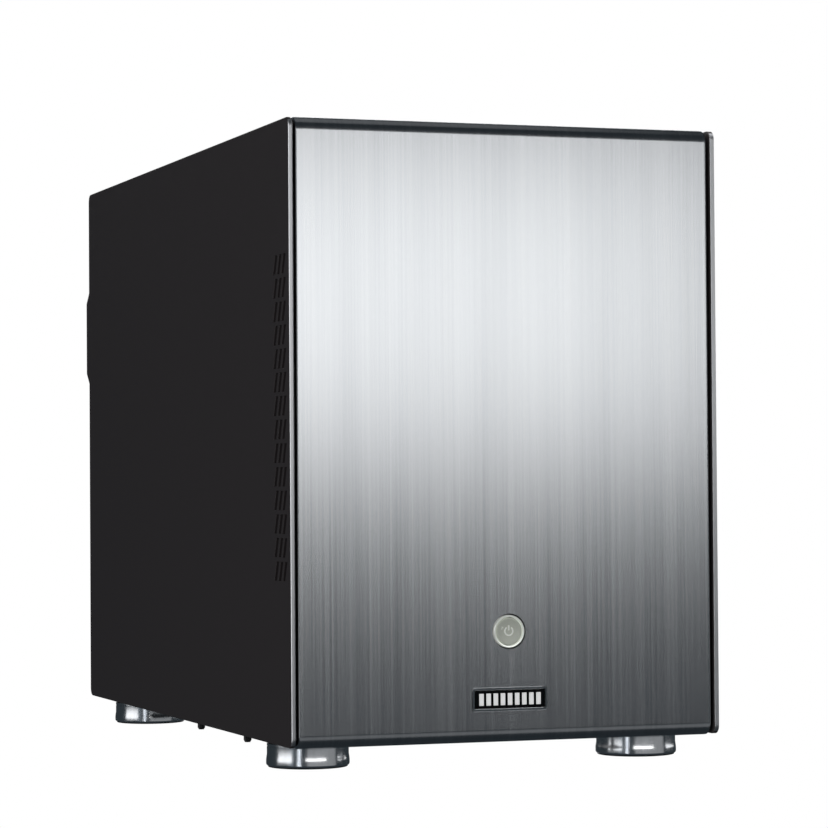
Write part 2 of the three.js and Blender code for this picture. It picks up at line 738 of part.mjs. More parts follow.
function topPanel() {
  return levelSheet(SIDE_TOP, -1, ventSlots(TOP_FAN_Y, TOP_FAN / 2 - FAN_RIM));
}

function psuScrewPlaces() {
  const x = PSU_WIDTH / 2 - PSU_SCREW_INSET;
  return [
    [-x, PSU_BOTTOM + PSU_SCREW_RAISED],
    [x, PSU_BOTTOM + PSU_SCREW_INSET],
    [-x, PSU_TOP - PSU_SCREW_INSET],
    [x, PSU_TOP - PSU_SCREW_INSET],
  ];
}

function rearPanel() {
  const outline = rectangle([-CHASSIS_HALF, CHASSIS_HALF], INNER_Z);
  const psuHalf = PSU_WIDTH / 2 - PSU_SIDE_FRAME;
  const slotX = (SLOT_COVER_LEFT + SLOT_COVER_RIGHT) / 2;
  const slotHalf = SLOT_OPENING_WIDTH / 2;
  const holes = [
    rectangle([-psuHalf, psuHalf], [PSU_BOTTOM + PSU_FRAME, PSU_TOP - PSU_FRAME]),
    rectangle([PORTS_LEFT, PORTS_RIGHT], [PORTS_BOTTOM, PORTS_BOTTOM + PORTS_TALL]),
    rectangle([slotX - slotHalf, slotX + slotHalf], [BOARD_TOP, BOARD_TOP + SLOT_OPENING_TALL]),
  ];
  for (const [x, z] of [...psuScrewPlaces(), slotScrewPlace()]) {
    holes.push(disc(x, z, SCREW_SHANK + SCREW_CLEAR));
  }
  for (let row = 0; row < REAR_VENT_ROWS; row += 1) {
    const z = PORTS_BOTTOM + PORTS_TALL + REAR_VENT_RISE + row * VENT_PITCH;
    const middle = (PORTS_LEFT + PORTS_RIGHT) / 2;
    holes.push(rectangle([middle - REAR_VENT_HALF, middle + REAR_VENT_HALF], [z, z + VENT_SLOT]));
  }
  const sheet = pierced('y', outline, holes, [REAR_INNER, REAR], 4);
  const flangeStart = REAR - STUD_FROM_REAR - FLANGE / 2;
  return join([sheet, ...uprightFlanges([flangeStart, REAR], REAR - STUD_FROM_REAR)]);
}

function standoffPlaces() {
  const left = BOARD_LEFT + BOARD_HOLE_INSET;
  const right = BOARD_RIGHT - BOARD_HOLE_INSET;
  return [
    [right, BOARD_REAR - BOARD_HOLE_RIGHT_REAR],
    [left, BOARD_REAR - BOARD_HOLE_LEFT_REAR],
    [right, BOARD_FRONT + BOARD_HOLE_INSET],
    [left, BOARD_FRONT + BOARD_HOLE_INSET],
  ];
}

function boardTray() {
  const half = CHASSIS_HALF - CHASSIS_SHEET - CLEAR;
  const front = BOARD_FRONT - TRAY_AHEAD;
  const deck = block([-half, half], [front, REAR_INNER - CLEAR], [TRAY_BOTTOM, TRAY_TOP]);
  const frontLip = block([-half, half], [front, front + CHASSIS_SHEET], [TRAY_BOTTOM - TRAY_LIP, TRAY_TOP]);
  const posts = standoffPlaces().map(([x, y]) => (
    rod('z', [x, y, 0], STANDOFF_RADIUS, [TRAY_BOTTOM, BOARD_BOTTOM - CLEAR], 6)
  ));
  return join([deck, frontLip, ...posts]);
}

// ---- Feet ----

function foot() {
  return turned('z', [0, 0, 0], [
    [0, 0],
    [FOOT_RADIUS - FOOT_EASE, 0],
    [FOOT_RADIUS, FOOT_EASE],
    [FOOT_RADIUS - FOOT_FLARE_IN, FOOT_EASE + FOOT_FLARE],
    [FOOT_WAIST, FOOT_WAIST_START],
    [FOOT_WAIST, FOOT_HEIGHT - FOOT_COLLAR],
    [FOOT_WAIST + FOOT_COLLAR_OUT, FOOT_HEIGHT],
    [0, FOOT_HEIGHT],
  ], 24);
}

function footPad() {
  return rod('z', [0, 0, 0], PAD_RADIUS, [0, PAD_HEIGHT], 24);
}

// ---- Fans ----

// A square fan frame: face to face along local Z, motor seat on struts at z = 0.
function fanFrame(size, depth) {
  const half = size / 2;
  const bore = half - FAN_RIM;
  const hub = size * FAN_SEAT_SHARE;
  const screwPlace = half - size * FAN_SCREW_SHARE;
  const through = [-OVERCUT, depth + OVERCUT];
  const outline = roundedRectangle([-half, half], [-half, half], FAN_CORNER);
  const frame = prism('z', outline, [0, depth], 1).subtract(rod('z', [0, 0, 0], bore, through, 28));
  const screws = [-1, 1].flatMap((u) => [-1, 1].map((v) => (
    rod('z', [u * screwPlace, v * screwPlace, 0], FAN_SCREW_RADIUS, through, 6)
  )));
  const seat = rod('z', [0, 0, 0], hub, [0, FAN_SEAT], 14);
  const length = bore - hub + 2 * STRUT_OVERLAP;
  const struts = [];
  for (let i = 0; i < FAN_STRUTS; i += 1) {
    const bar = new THREE.BoxGeometry(length, STRUT_WIDTH, STRUT_THICK);
    bar.translate(hub - STRUT_OVERLAP + length / 2, 0, STRUT_THICK / 2);
    bar.rotateZ(i * Math.PI * 2 / FAN_STRUTS + STRUT_START);
    struts.push(toSolid(bar));
  }
  return join([cut(frame, screws), seat, ...struts]);
}

// The hub and its blades, just ahead of the motor seat.
function fanRotor(size, depth) {
  const tip = size / 2 - FAN_RIM - BLADE_TIP_GAP;
  const hub = size * FAN_HUB_SHARE;
  const faces = [FAN_SEAT + ROTOR_GAP, depth - ROTOR_SETBACK];
  const tilted = (depth - BLADE_MARGIN) / Math.sin(BLADE_SLOPE);
  const width = Math.min(tilted, size * BLADE_CHORD_SHARE);
  const length = Math.sqrt(tip * tip - width * width / 4) - hub + BLADE_ROOT;
  const blades = [];
  for (let i = 0; i < FAN_BLADES; i += 1) {
    const blade = new THREE.BoxGeometry(length, width, BLADE_THICK);
    blade.rotateX(BLADE_TILT);
    blade.translate(hub - BLADE_ROOT + length / 2, 0, (faces[0] + faces[1]) / 2);
    blade.rotateZ(i * Math.PI * 2 / FAN_BLADES);
    blades.push(toSolid(blade));
  }
  return join([rod('z', [0, 0, 0], hub, faces, 14), ...blades]);
}

// ---- Power supply ----

function psuFanY() {
  return (PSU_FRONT + PSU_REAR) / 2 - PSU_FAN_FORWARD;
}

function inletPlace() {
  return [PSU_WIDTH / 2 - SOCKETS_FROM_SIDE, PSU_TOP - INLET_FROM_TOP];
}

function rockerPlace() {
  return [PSU_WIDTH / 2 - SOCKETS_FROM_SIDE, PSU_TOP - ROCKER_FROM_TOP];
}

// Half the width and height of the well that the rocker tips in.
function wellHalf() {
  return [ROCKER_WIDTH / 2 + CLEAR, ROCKER_TALL / 2 + ROCKER_CLEAR];
}

// A block centred on (x, z), reaching halfX and halfZ each way, between two values on Y.
function plug([x, z], [halfX, halfZ], y) {
  return block([x - halfX, x + halfX], y, [z - halfZ, z + halfZ]);
}

function widened([halfX, halfZ], extra) {
  return [halfX + extra, halfZ + extra];
}

function psuCase() {
  const half = PSU_WIDTH / 2;
  const shell = block([-half, half], [PSU_FRONT, PSU_REAR], [PSU_BOTTOM, PSU_TOP]);
  const hollow = block(
    [-half + PSU_WALL, half - PSU_WALL],
    [PSU_FRONT + PSU_WALL, PSU_REAR - PSU_WALL],
    [PSU_BOTTOM + PSU_WALL, PSU_TOP - PSU_WALL],
  );
  const below = [PSU_BOTTOM - OVERCUT, PSU_BOTTOM + PSU_WALL + OVERCUT];
  const fanBore = rod('z', [0, psuFanY(), 0], PSU_FAN / 2 - FAN_RIM, below, 28);
  const rear = [PSU_REAR - PSU_WALL - OVERCUT, PSU_REAR + OVERCUT];
  const inlet = plug(inletPlace(), [INLET_WIDTH / 2 + CLEAR, INLET_TALL / 2 + CLEAR], rear);
  const rocker = plug(rockerPlace(), widened(wellHalf(), BEZEL_WALL + CLEAR), rear);
  const grille = [];
  for (let column = 0; column < GRILLE_COLUMNS; column += 1) {
    const x = -half + GRILLE_FROM_SIDE + column * GRILLE_PITCH;
    grille.push(block([x, x + VENT_SLOT], rear, [PSU_BOTTOM + GRILLE_INSET, PSU_TOP - GRILLE_INSET]));
  }
  const front = [PSU_FRONT - OVERCUT, PSU_FRONT + PSU_WALL + OVERCUT];
  const exit = rod('y', [cableX(), 0, PSU_TOP - CABLE_EXIT_DROP], CABLE_EXIT_RADIUS, front, 12);
  const screws = psuScrewPlaces().map(([x, z]) => rod('y', [x, 0, z], SCREW_SHANK + SCREW_CLEAR, rear, 8));
  return cut(shell, [hollow, fanBore, inlet, rocker, exit, ...grille, ...screws]);
}

function psuFanGuard() {
  const z = [PSU_BOTTOM - CLEAR - GUARD_THICK, PSU_BOTTOM - CLEAR];
  const outer = PSU_FAN / 2 - GUARD_INSET;
  const rings = GUARD_RINGS.map((share) => {
    const hole = disc(0, psuFanY(), outer * share - GUARD_WIRE);
    return pierced('z', disc(0, psuFanY(), outer * share), [hole], z, 8);
  });
  const spokes = [0, 1].map((i) => {
    const bar = new THREE.BoxGeometry(outer * 2 - GUARD_WIRE, GUARD_WIRE, GUARD_THICK * 0.9);
    bar.rotateZ(Math.PI / 4 + i * Math.PI / 2);
    bar.translate(0, psuFanY(), (z[0] + z[1]) / 2);
    return toSolid(bar);
  });
  return join([...rings, ...spokes]);
}

function mainsInlet() {
  const place = inletPlace();
  const half = [INLET_WIDTH / 2, INLET_TALL / 2];
  const front = PSU_REAR - INLET_DEPTH;
  const face = PSU_REAR + CLEAR;
  const body = plug(place, half, [front, face]);
  const lip = plug(place, widened(half, INLET_LIP), [face, face + PANEL_LIP]);
  const recess = plug(place, widened(half, -INLET_WALL), [front + INLET_WALL, face + PANEL_LIP + OVERCUT]);
  const pins = INLET_PINS.map(([u, v]) => (
    plug([place[0] + u, place[1] + v], [PIN_HALF_WIDTH, PIN_HALF_TALL], [front, PSU_REAR - PIN_SETBACK])
  ));
  return join([body.add(lip).subtract(recess), ...pins]);
}

function switchBezel() {
  const place = rockerPlace();
  const front = PSU_REAR - BEZEL_DEPTH;
  const face = PSU_REAR + CLEAR;
  const outer = widened(wellHalf(), BEZEL_WALL);
  const body = plug(place, outer, [front, face]);
  const lip = plug(place, widened(outer, BEZEL_LIP), [face, face + PANEL_LIP]);
  const well = plug(place, wellHalf(), [front + BEZEL_FLOOR, face + PANEL_LIP + OVERCUT]);
  return body.add(lip).subtract(well);
}

// The rocker, round its own pivot: a flat-sided bar whose front is bent at the middle.
function rockerSwitch() {
  const half = ROCKER_TALL / 2;
  const outline = polygon([
    [-ROCKER_BACK, -half + ROCKER_TAPER],
    [ROCKER_SIDE, -half],
    [ROCKER_END, -half],
    [ROCKER_MIDDLE, 0],
    [ROCKER_END, half],
    [ROCKER_SIDE, half],
    [-ROCKER_BACK, half - ROCKER_TAPER],
  ]);
  return prism('x', outline, [-ROCKER_WIDTH / 2, ROCKER_WIDTH / 2]);
}

// A pan-head screw whose shank points along -Z from the underside of its head at z = 0.
function panScrew(shank, radius = SCREW_HEAD, tall = SCREW_HEAD_HEIGHT) {
  return turned('z', [0, 0, 0], [
    [0, -shank],
    [SCREW_SHANK, -shank],
    [SCREW_SHANK, 0],
    [radius, 0],
    [radius, tall - SCREW_DOME],
    [radius * 0.7, tall],
    [0, tall],
  ], 8);
}

// ---- Motherboard ----

const PORT_BLOCKS = [
  { from: 3, width: 14, tall: 30 },
  { from: 21, width: 15, tall: 16 },
  { from: 40, width: 32, tall: 22 },
  { from: 77, width: 15, tall: 30 },
  { from: 96, width: 17, tall: 30 },
  { from: 117, width: 14, tall: 34 },
  { from: 135, width: 14, tall: 34 },
];

function motherboard() {
  const plate = block([BOARD_LEFT, BOARD_RIGHT], [BOARD_FRONT, BOARD_REAR], [BOARD_BOTTOM, BOARD_TOP]);
  const upTo = (tall) => [BOARD_TOP - BOARD_THICK / 8, BOARD_TOP + tall];
  const front = BOARD_FRONT + SOCKET_FROM_FRONT;
  const memorySpan = (extra) => [memoryLeft() - extra, memoryLeft() + MEMORY_LENGTH + extra];
  const { end, half, tall } = MEMORY_SOCKET;
  const memorySockets = memoryPlaces().map((y) => block(memorySpan(end), around(y, half), upTo(tall)));
  const memoryGrooves = memoryPlaces().map((y) => block(
    memorySpan(CLEAR),
    around(y, GROOVE_HALF),
    [BOARD_TOP + MEMORY_SEAT, BOARD_TOP + tall + OVERCUT],
  ));
  const cardY = [BOARD_REAR - CARD_SOCKET.front, BOARD_REAR - CARD_SOCKET.rear];
  const cardSocket = block(around(CARD_X, CARD_SOCKET.half), cardY, upTo(CARD_SOCKET.tall));
  const cardGroove = block(
    around(CARD_X, GROOVE_HALF),
    [cardY[0] + CARD_SOCKET.wall, cardY[1] - CARD_SOCKET.wall],
    [BOARD_TOP + CARD_SOCKET.seat, BOARD_TOP + CARD_SOCKET.tall + OVERCUT],
  );
  const powerSocket = block(plugSpan(), [front, front + POWER_SOCKET.depth], upTo(POWER_SOCKET.tall));
  const dataY = [front, front + DATA_SOCKET.depth];
  const dataSocket = block(around(dataX(), DATA_SOCKET.half), dataY, upTo(DATA_SOCKET.tall));
  const bridge = block(
    [BOARD_LEFT + BRIDGE.left, BOARD_LEFT + BRIDGE.left + BRIDGE.size],
    [BOARD_FRONT + BRIDGE.front, BOARD_FRONT + BRIDGE.front + BRIDGE.size],
    upTo(BRIDGE.tall),
  );
  const cpuSocket = block(around(cpuX(), CPU_HALF), around(cpuY(), CPU_HALF), upTo(CPU_TALL));
  const whole = join([plate, ...memorySockets, cardSocket, powerSocket, dataSocket, bridge, cpuSocket]);
  const drill = [BOARD_BOTTOM - OVERCUT, BOARD_TOP + OVERCUT];
  const holes = standoffPlaces().map(([x, y]) => rod('z', [x, y, 0], BOARD_HOLE, drill, 10));
  return cut(whole, [...memoryGrooves, cardGroove, ...holes]);
}

function cpuX() {
  return (BOARD_LEFT + BOARD_RIGHT) / 2 + CPU_RIGHT_OF_MIDDLE;
}

function cpuY() {
  return BOARD_FRONT + CPU_FROM_FRONT;
}

function plugX() {
  return BOARD_LEFT + POWER_SOCKET.fromLeft;
}

function plugSpan() {
  return around(plugX(), POWER_SOCKET.half);
}

function plugBottom() {
  return BOARD_TOP + POWER_SOCKET.tall + CLEAR;
}

function dataX() {
  return BOARD_RIGHT - DATA_SOCKET.fromRight;
}

function cableX() {
  return plugX();
}

function memoryLeft() {
  return BOARD_RIGHT - MEMORY_LENGTH - MEMORY_FROM_RIGHT;
}

function memoryPlaces() {
  return MEMORY_ROWS.map((row) => BOARD_FRONT + row);
}

function rearPorts() {
  const depth = [REAR - PORTS_DEPTH, REAR + CLEAR];
  const z = BOARD_TOP + CLEAR;
  const stripX = [PORTS_LEFT + STRIP_INSET, PORTS_RIGHT - STRIP_INSET];
  const strip = block(stripX, [depth[0], depth[0] + STRIP_DEPTH], [z, z + STRIP_THICK]);
  const housings = PORT_BLOCKS.map(({ from, width, tall }) => (
    block([PORTS_LEFT + from, PORTS_LEFT + from + width], depth, [z, z + tall])
  ));
  const mouths = PORT_BLOCKS.map(({ from, width, tall }) => block(
    [PORTS_LEFT + from + PORT_WALL, PORTS_LEFT + from + width - PORT_WALL],
    [REAR - PORT_MOUTH, REAR + CLEAR + OVERCUT],
    [z + PORT_WALL, z + tall - PORT_WALL],
  ));
  return cut(join([strip, ...housings]), mouths);
}

function portShield() {
  const sheet = block(
    [PORTS_LEFT + CLEAR, PORTS_RIGHT - CLEAR],
    [REAR_INNER + CLEAR, REAR - CLEAR],
    [PORTS_BOTTOM + CLEAR, PORTS_BOTTOM + PORTS_TALL - CLEAR],
  );
  const windows = PORT_BLOCKS.map(({ from, width, tall }) => block(
    [PORTS_LEFT + from - PORT_GAP, PORTS_LEFT + from + width + PORT_GAP],
    [REAR_INNER, REAR],
    [BOARD_TOP + CLEAR - PORT_GAP, BOARD_TOP + CLEAR + tall + PORT_GAP],
  ));
  return cut(sheet, windows);
}

function coolerBottom() {
  return BOARD_TOP + CPU_TALL + CLEAR;
}

function coolerTop() {
  return coolerBottom() + COOLER_TALL;
}

function cpuCooler() {
  const half = COOLER_SIZE / 2;
  const bottom = coolerBottom();
  const baseTop = bottom + COOLER_FOOT_TALL + COOLER_BASE;
  const base = block(around(cpuX(), half), around(cpuY(), half), [bottom + COOLER_FOOT_TALL, baseTop]);
  const foot = block(
    around(cpuX(), COOLER_FOOT_HALF),
    around(cpuY(), COOLER_FOOT_HALF),
    [bottom, bottom + COOLER_FOOT_TALL + COOLER_BASE / 2],
  );
  const fins = [];
  for (let i = 0; i < COOLER_FINS; i += 1) {
    const x = cpuX() - half + i * (COOLER_SIZE - FIN_THICK) / (COOLER_FINS - 1);
    fins.push(block([x, x + FIN_THICK], around(cpuY(), half), [baseTop - COOLER_BASE / 4, coolerTop()]));
  }
  return join([base, foot, ...fins]);
}

function memoryModule(y) {
  const left = memoryLeft();
  const bottom = BOARD_TOP + MEMORY_SEAT + CLEAR;
  const faces = [y - MEMORY_THICK / 2, y + MEMORY_THICK / 2];
  const board = block([left, left + MEMORY_LENGTH], faces, [bottom, bottom + MEMORY_TALL]);
  const { count, first, pitch, length, low, high, proud } = MEMORY_CHIPS;
  const chips = [];
  for (let i = 0; i < count; i += 1) {
    const x = left + first + i * pitch;
    chips.push(block([x, x + length], [y - proud, y], [bottom + low, bottom + high]));
  }
  return join([board, ...chips]);
}

function slotScrewPlace() {
  return [(SLOT_COVER_LEFT + SLOT_COVER_RIGHT) / 2, SLOT_COVER_TOP - SLOT_COVER_END];
}

function slotCover() {
  const y = [REAR_INNER - CLEAR - SLOT_COVER_SHEET, REAR_INNER - CLEAR];
  const [x, z] = slotScrewPlace();
  const strip = block([SLOT_COVER_LEFT, SLOT_COVER_RIGHT], y, [SLOT_COVER_BOTTOM, SLOT_COVER_TOP]);
  const drill = [y[0] - OVERCUT, y[1] + OVERCUT];
  return strip.subtract(rod('y', [x, 0, z], SCREW_SHANK + SCREW_CLEAR, drill, 8));
}

// ---- Drive cage, drives and backplane ----

function bayFloor(bay) {
  return BAY_BOTTOM + bay * BAY_PITCH;
}

function driveCage() {
  const shell = block([CAGE_LEFT, CAGE_RIGHT], [CAGE_FRONT, CAGE_REAR], [CAGE_BOTTOM, CAGE_TOP]);
  const hollow = block(
    [CAGE_LEFT - OVERCUT, CAGE_RIGHT + OVERCUT],
    [CAGE_FRONT + CAGE_SHEET, CAGE_REAR - CAGE_SHEET],
    [CAGE_BOTTOM + CAGE_SHEET, CAGE_TOP - CAGE_SHEET],
  );
  const rails = [];
  for (let bay = 0; bay < BAYS; bay += 1) {
    const middle = bayFloor(bay) + PEG_HEIGHT;
    rails.push(block(
      [CAGE_LEFT - OVERCUT, DRIVE_LEFT + PEG_FROM_END + PEG_SPACING + RAIL_HEIGHT],
      [CAGE_FRONT - OVERCUT, CAGE_REAR + OVERCUT],
      [middle - RAIL_HEIGHT / 2, middle + RAIL_HEIGHT / 2],
    ));
  }
  const drill = [CAGE_BOTTOM - OVERCUT, CAGE_BOTTOM + CAGE_SHEET + OVERCUT];
  const radius = SCREW_SHANK + SCREW_CLEAR;
  const screws = cageScrewPlaces().map(([x, y]) => rod('z', [x, y, 0], radius, drill, 8));
  const tongue = block(
    [CAGE_LEFT, CAGE_RIGHT],
    [CAGE_REAR - CAGE_SHEET, CAGE_REAR + CAGE_TONGUE],
    [CAGE_BOTTOM, CAGE_BOTTOM + CAGE_SHEET],
  );
  return cut(shell.add(tongue), [hollow, ...rails, ...screws]);
}

// A drive in the lowest bay, with its four rubber-ringed pegs.
function drive() {
  const z = bayFloor(0);
  const box = block([DRIVE_LEFT, DRIVE_RIGHT], [DRIVE_FRONT, DRIVE_REAR], [z, z + DRIVE_TALL]);
  const pegs = [0, PEG_SPACING].map((step) => rod(
    'y',
    [DRIVE_LEFT + PEG_FROM_END + step, 0, z + PEG_HEIGHT],
    RAIL_PEG,
    [CAGE_FRONT - CLEAR, CAGE_REAR + CLEAR],
    8,
  ));
  return join([box, ...pegs]);
}

// The pull handle across a drive's outer end: a strap bent at both ends.
function driveHandle() {
  const y = (DRIVE_FRONT + DRIVE_REAR) / 2;
  const z = [bayFloor(0) + HANDLE_LOW, bayFloor(0) + HANDLE_LOW + HANDLE_TALL];
  const half = HANDLE_SPAN / 2;
  const outer = block([DRIVE_LEFT - HANDLE_REACH, DRIVE_LEFT - CLEAR], [y - half, y + half], z);
  const finger = block(
    [DRIVE_LEFT - HANDLE_REACH + HANDLE_SHEET, DRIVE_LEFT],
    [y - half + HANDLE_END, y + half - HANDLE_END],
    [z[0] - OVERCUT, z[1] + OVERCUT],
  );
  return outer.subtract(finger);
}

// The upright board behind the drives, with a socket for each and a data outlet behind it.
function backplane() {
  const board = block(
    [CAGE_RIGHT + CLEAR, CAGE_RIGHT + CLEAR + BOARD_THICK],
    [CAGE_FRONT, CAGE_REAR],
    [CAGE_BOTTOM + BACKPLANE_INSET, CAGE_TOP - BACKPLANE_INSET],
  );
  const middle = CAGE_RIGHT + CLEAR + BOARD_THICK / 2;
  const y = DRIVE_FRONT + DRIVE_SOCKET.from;
  const sockets = [];
  for (let bay = 0; bay < BAYS; bay += 1) {
    const low = bayFloor(bay) + DRIVE_SOCKET.low;
    const z = [low, low + DRIVE_SOCKET.tall];
    sockets.push(block([DRIVE_RIGHT + CLEAR, middle], [y, y + DRIVE_SOCKET.length], z));
    sockets.push(block([middle, CAGE_RIGHT + DATA_OUTLET.reach], [y, y + DATA_OUTLET.length], z));
  }
  return join([board, ...sockets]);
}

// ---- Cables held inside ----

function cable(points, radius) {
  const route = new THREE.CatmullRomCurve3(points.map((point) => new THREE.Vector3(...point)));
  const section = new THREE.Shape();
  section.absarc(0, 0, radius, 0, Math.PI * 2);
  const geometry = new THREE.ExtrudeGeometry(section, { steps: 24, extrudePath: route, curveSegments: 4 });
  return toSolid(geometry);
}

function powerPlug() {
  const front = BOARD_FRONT + SOCKET_FROM_FRONT;
  const z = [plugBottom(), plugBottom() + POWER_SOCKET.plug];
  return block(plugSpan(), [front, front + POWER_SOCKET.depth], z);
}

function powerCable() {
  const x = cableX();
  const plugTop = plugBottom() + POWER_SOCKET.plug;
  const plugY = BOARD_FRONT + SOCKET_FROM_FRONT + POWER_SOCKET.depth / 2;
  const exitZ = PSU_TOP - CABLE_EXIT_DROP;
  const front = BOARD_FRONT - 14;
  return cable([
    [x, PSU_FRONT - CLEAR, exitZ],
    [x, PSU_FRONT - 14, exitZ],
    [x, front + 3, PSU_TOP - 2],
    [x, front, TRAY_BOTTOM],
    [x, front + 1, BOARD_TOP + 18],
    [x, front + 7, plugTop + 12],
    [x, front + 14, plugTop + 16],
    [x, plugY, plugTop + 10],
    [x, plugY, plugTop + 4],
    [x, plugY, plugTop + CLEAR],
  ], CABLE_RADIUS);
}

function dataCable() {
  const y = DRIVE_FRONT + DRIVE_SOCKET.from + DATA_OUTLET.length / 2;
  const z = bayFloor(1) + DRIVE_SOCKET.low + DRIVE_SOCKET.tall / 2;
  const x = CAGE_RIGHT + DATA_OUTLET.reach + CLEAR;
  const end = BOARD_TOP + DATA_SOCKET.tall / 2;
  return cable([
    [x, y, z],
    [x + 7, y, z],
    [x + 11, y + 20, z + 25],
    [x + 8, BOARD_FRONT - 18, TRAY_BOTTOM - 14],
    [dataX(), BOARD_FRONT - 16, TRAY_TOP],
    [dataX(), BOARD_FRONT - 8, end],
    [dataX(), BOARD_FRONT + SOCKET_FROM_FRONT - CLEAR, end],
  ], DATA_CABLE_RADIUS);
}

// ---- The assembly ----

function frontFanZ() {
  return (FLOOR + CEILING) / 2;
}

const tower = new THREE.Group();

function groupAt(x, y, z) {
  const group = new THREE.Group();
  group.position.set(x, y, z);
  tower.add(group);
  return group;
}

function addFan(name, size, depth, group) {
  group.add(meshOf(`${name}_frame`, fanFrame(size, depth), 'black_plastic'));
  group.add(meshOf(`${name}_rotor`, fanRotor(size, depth), 'black_plastic'));
}

const cover = groupAt(0, 0, 0);
cover.add(meshOf('front_cover', frontCover(), 'brushed_cover'));
cover.add(meshOf('badge_rim', badgeRim(), 'polished_metal'));
cover.add(meshOf('badge_inlay', badgeInlay(), 'black_plastic'));
cover.add(meshOf('button_ring', buttonRing(), 'pale_plastic'));
cover.add(meshOf('power_button', powerButton(), 'bright_metal'));
cover.add(meshOf('power_switch', powerSwitch(), 'black_plastic'));

tower.add(meshOf('left_side_panel', sidePanel(-1), 'black_sheet'));
tower.add(meshOf('right_side_panel', sidePanel(1), 'black_sheet'));
tower.add(meshOf('front_wall', frontWall(), 'black_sheet'));
tower.add(meshOf('bottom_panel', bottomPanel(), 'black_sheet'));
tower.add(meshOf('top_panel', topPanel(), 'black_sheet'));
tower.add(meshOf('rear_panel', rearPanel(), 'black_sheet'));
tower.add(meshOf('board_tray', boardTray(), 'black_sheet'));

for (const [end, y] of [['front', FRONT + FOOT_FROM_FRONT], ['rear', REAR - FOOT_FROM_REAR]]) {
  for (const [side, way] of [['left', -1], ['right', 1]]) {
    const corner = groupAt(way * (CASE_WIDTH / 2 - FOOT_INSET_X), y, 0);
    const metal = meshOf(`foot_${end}_${side}`, foot(), 'polished_metal');
    metal.position.z = PAD_HEIGHT + CLEAR;
    corner.add(metal);
    corner.add(meshOf(`foot_pad_${end}_${side}`, footPad(), 'black_rubber'));
  }
}

const frontFan = groupAt(0, FAN_FRONT + FAN_DEPTH, frontFanZ());
frontFan.rotation.x = Math.PI / 2;
addFan('front_fan', FRONT_FAN, FAN_DEPTH, frontFan);
const topFan = groupAt(0, TOP_FAN_Y, CEILING - CLEAR - FAN_DEPTH);
addFan('top_fan', TOP_FAN, FAN_DEPTH, topFan);
const coolerFan = groupAt(cpuX(), cpuY(), coolerTop() + CLEAR);
addFan('cooler_fan', COOLER_FAN, COOLER_FAN_DEPTH, coolerFan);
const psuFan = groupAt(0, psuFanY(), PSU_BOTTOM + PSU_WALL + CLEAR + FAN_DEPTH);
psuFan.rotation.x = Math.PI;
addFan('psu_fan', PSU_FAN, FAN_DEPTH, psuFan);

tower.add(meshOf('psu_case', psuCase(), 'black_sheet'));
tower.add(meshOf('psu_fan_guard', psuFanGuard(), 'bright_metal'));
tower.add(meshOf('mains_inlet', mainsInlet(), 'black_plastic'));
tower.add(meshOf('switch_bezel', switchBezel(), 'black_plastic'));
const [rockerX, rockerZ] = rockerPlace();
const rocker = groupAt(rockerX, PSU_REAR - ROCKER_PIVOT, rockerZ);
rocker.rotation.x = THREE.MathUtils.degToRad(-ROCKER_TILT);
rocker.add(meshOf('rocker_switch', rockerSwitch(), 'black_plastic'));
psuScrewPlaces().forEach(([x, z], i) => {
  const seat = groupAt(x, REAR + CLEAR, z);
  seat.rotation.x = -Math.PI / 2;
  seat.add(meshOf(`psu_screw_${i + 1}`, panScrew(CHASSIS_SHEET + PSU_WALL + SCREW_PAST), 'bright_metal'));
});

tower.add(meshOf('motherboard', motherboard(), 'board_green'));
tower.add(meshOf('rear_ports', rearPorts(), 'zinc_sheet'));
tower.add(meshOf('port_shield', portShield(), 'zinc_sheet'));
tower.add(meshOf('cpu_cooler', cpuCooler(), 'bright_metal'));
memoryPlaces().forEach((y, i) => {
  tower.add(meshOf(`memory_module_${i + 1}`, memoryModule(y), 'board_green'));
});
tower.add(meshOf('slot_cover', slotCover(), 'black_sheet'));
const [slotScrewX, slotScrewZ] = slotScrewPlace();
const slotScrew = groupAt(slotScrewX, REAR + CLEAR, slotScrewZ);
slotScrew.rotation.x = -Math.PI / 2;
const slotShank = CHASSIS_SHEET + SLOT_COVER_SHEET + SCREW_PAST;
slotScrew.add(meshOf('slot_screw', panScrew(slotShank), 'bright_metal'));

tower.add(meshOf('drive_cage', driveCage(), 'black_sheet'));
tower.add(meshOf('backplane', backplane(), 'board_green'));
for (let bay = 0; bay < DRIVES; bay += 1) {
  const sled = groupAt(0, 0, bay * BAY_PITCH);
  sled.add(meshOf(`drive_${bay + 1}`, drive(), 'zinc_sheet'));
  sled.add(meshOf(`drive_handle_${bay + 1}`, driveHandle(), 'black_plastic'));
}
cageScrewPlaces().forEach(([x, y], i) => {
  const seat = groupAt(x, y, SIDE_BOTTOM - CLEAR);
  seat.rotation.x = Math.PI;
  const screw = panScrew(SCREW_REACH, CAGE_HEAD_RADIUS, CAGE_HEAD_TALL);
  seat.add(meshOf(`cage_screw_${i + 1}`, screw, 'black_sheet'));
});

tower.add(meshOf('power_plug', powerPlug(), 'black_plastic'));
tower.add(meshOf('power_cable', powerCable(), 'black_rubber'));
tower.add(meshOf('data_cable', dataCable(), 'black_rubber'));

export default tower;
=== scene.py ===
"""A compact desktop computer tower: brushed front cover, black side panels, metal feet, full interior."""
import json
import math

import bmesh
import bpy
from mathutils import Matrix, Vector

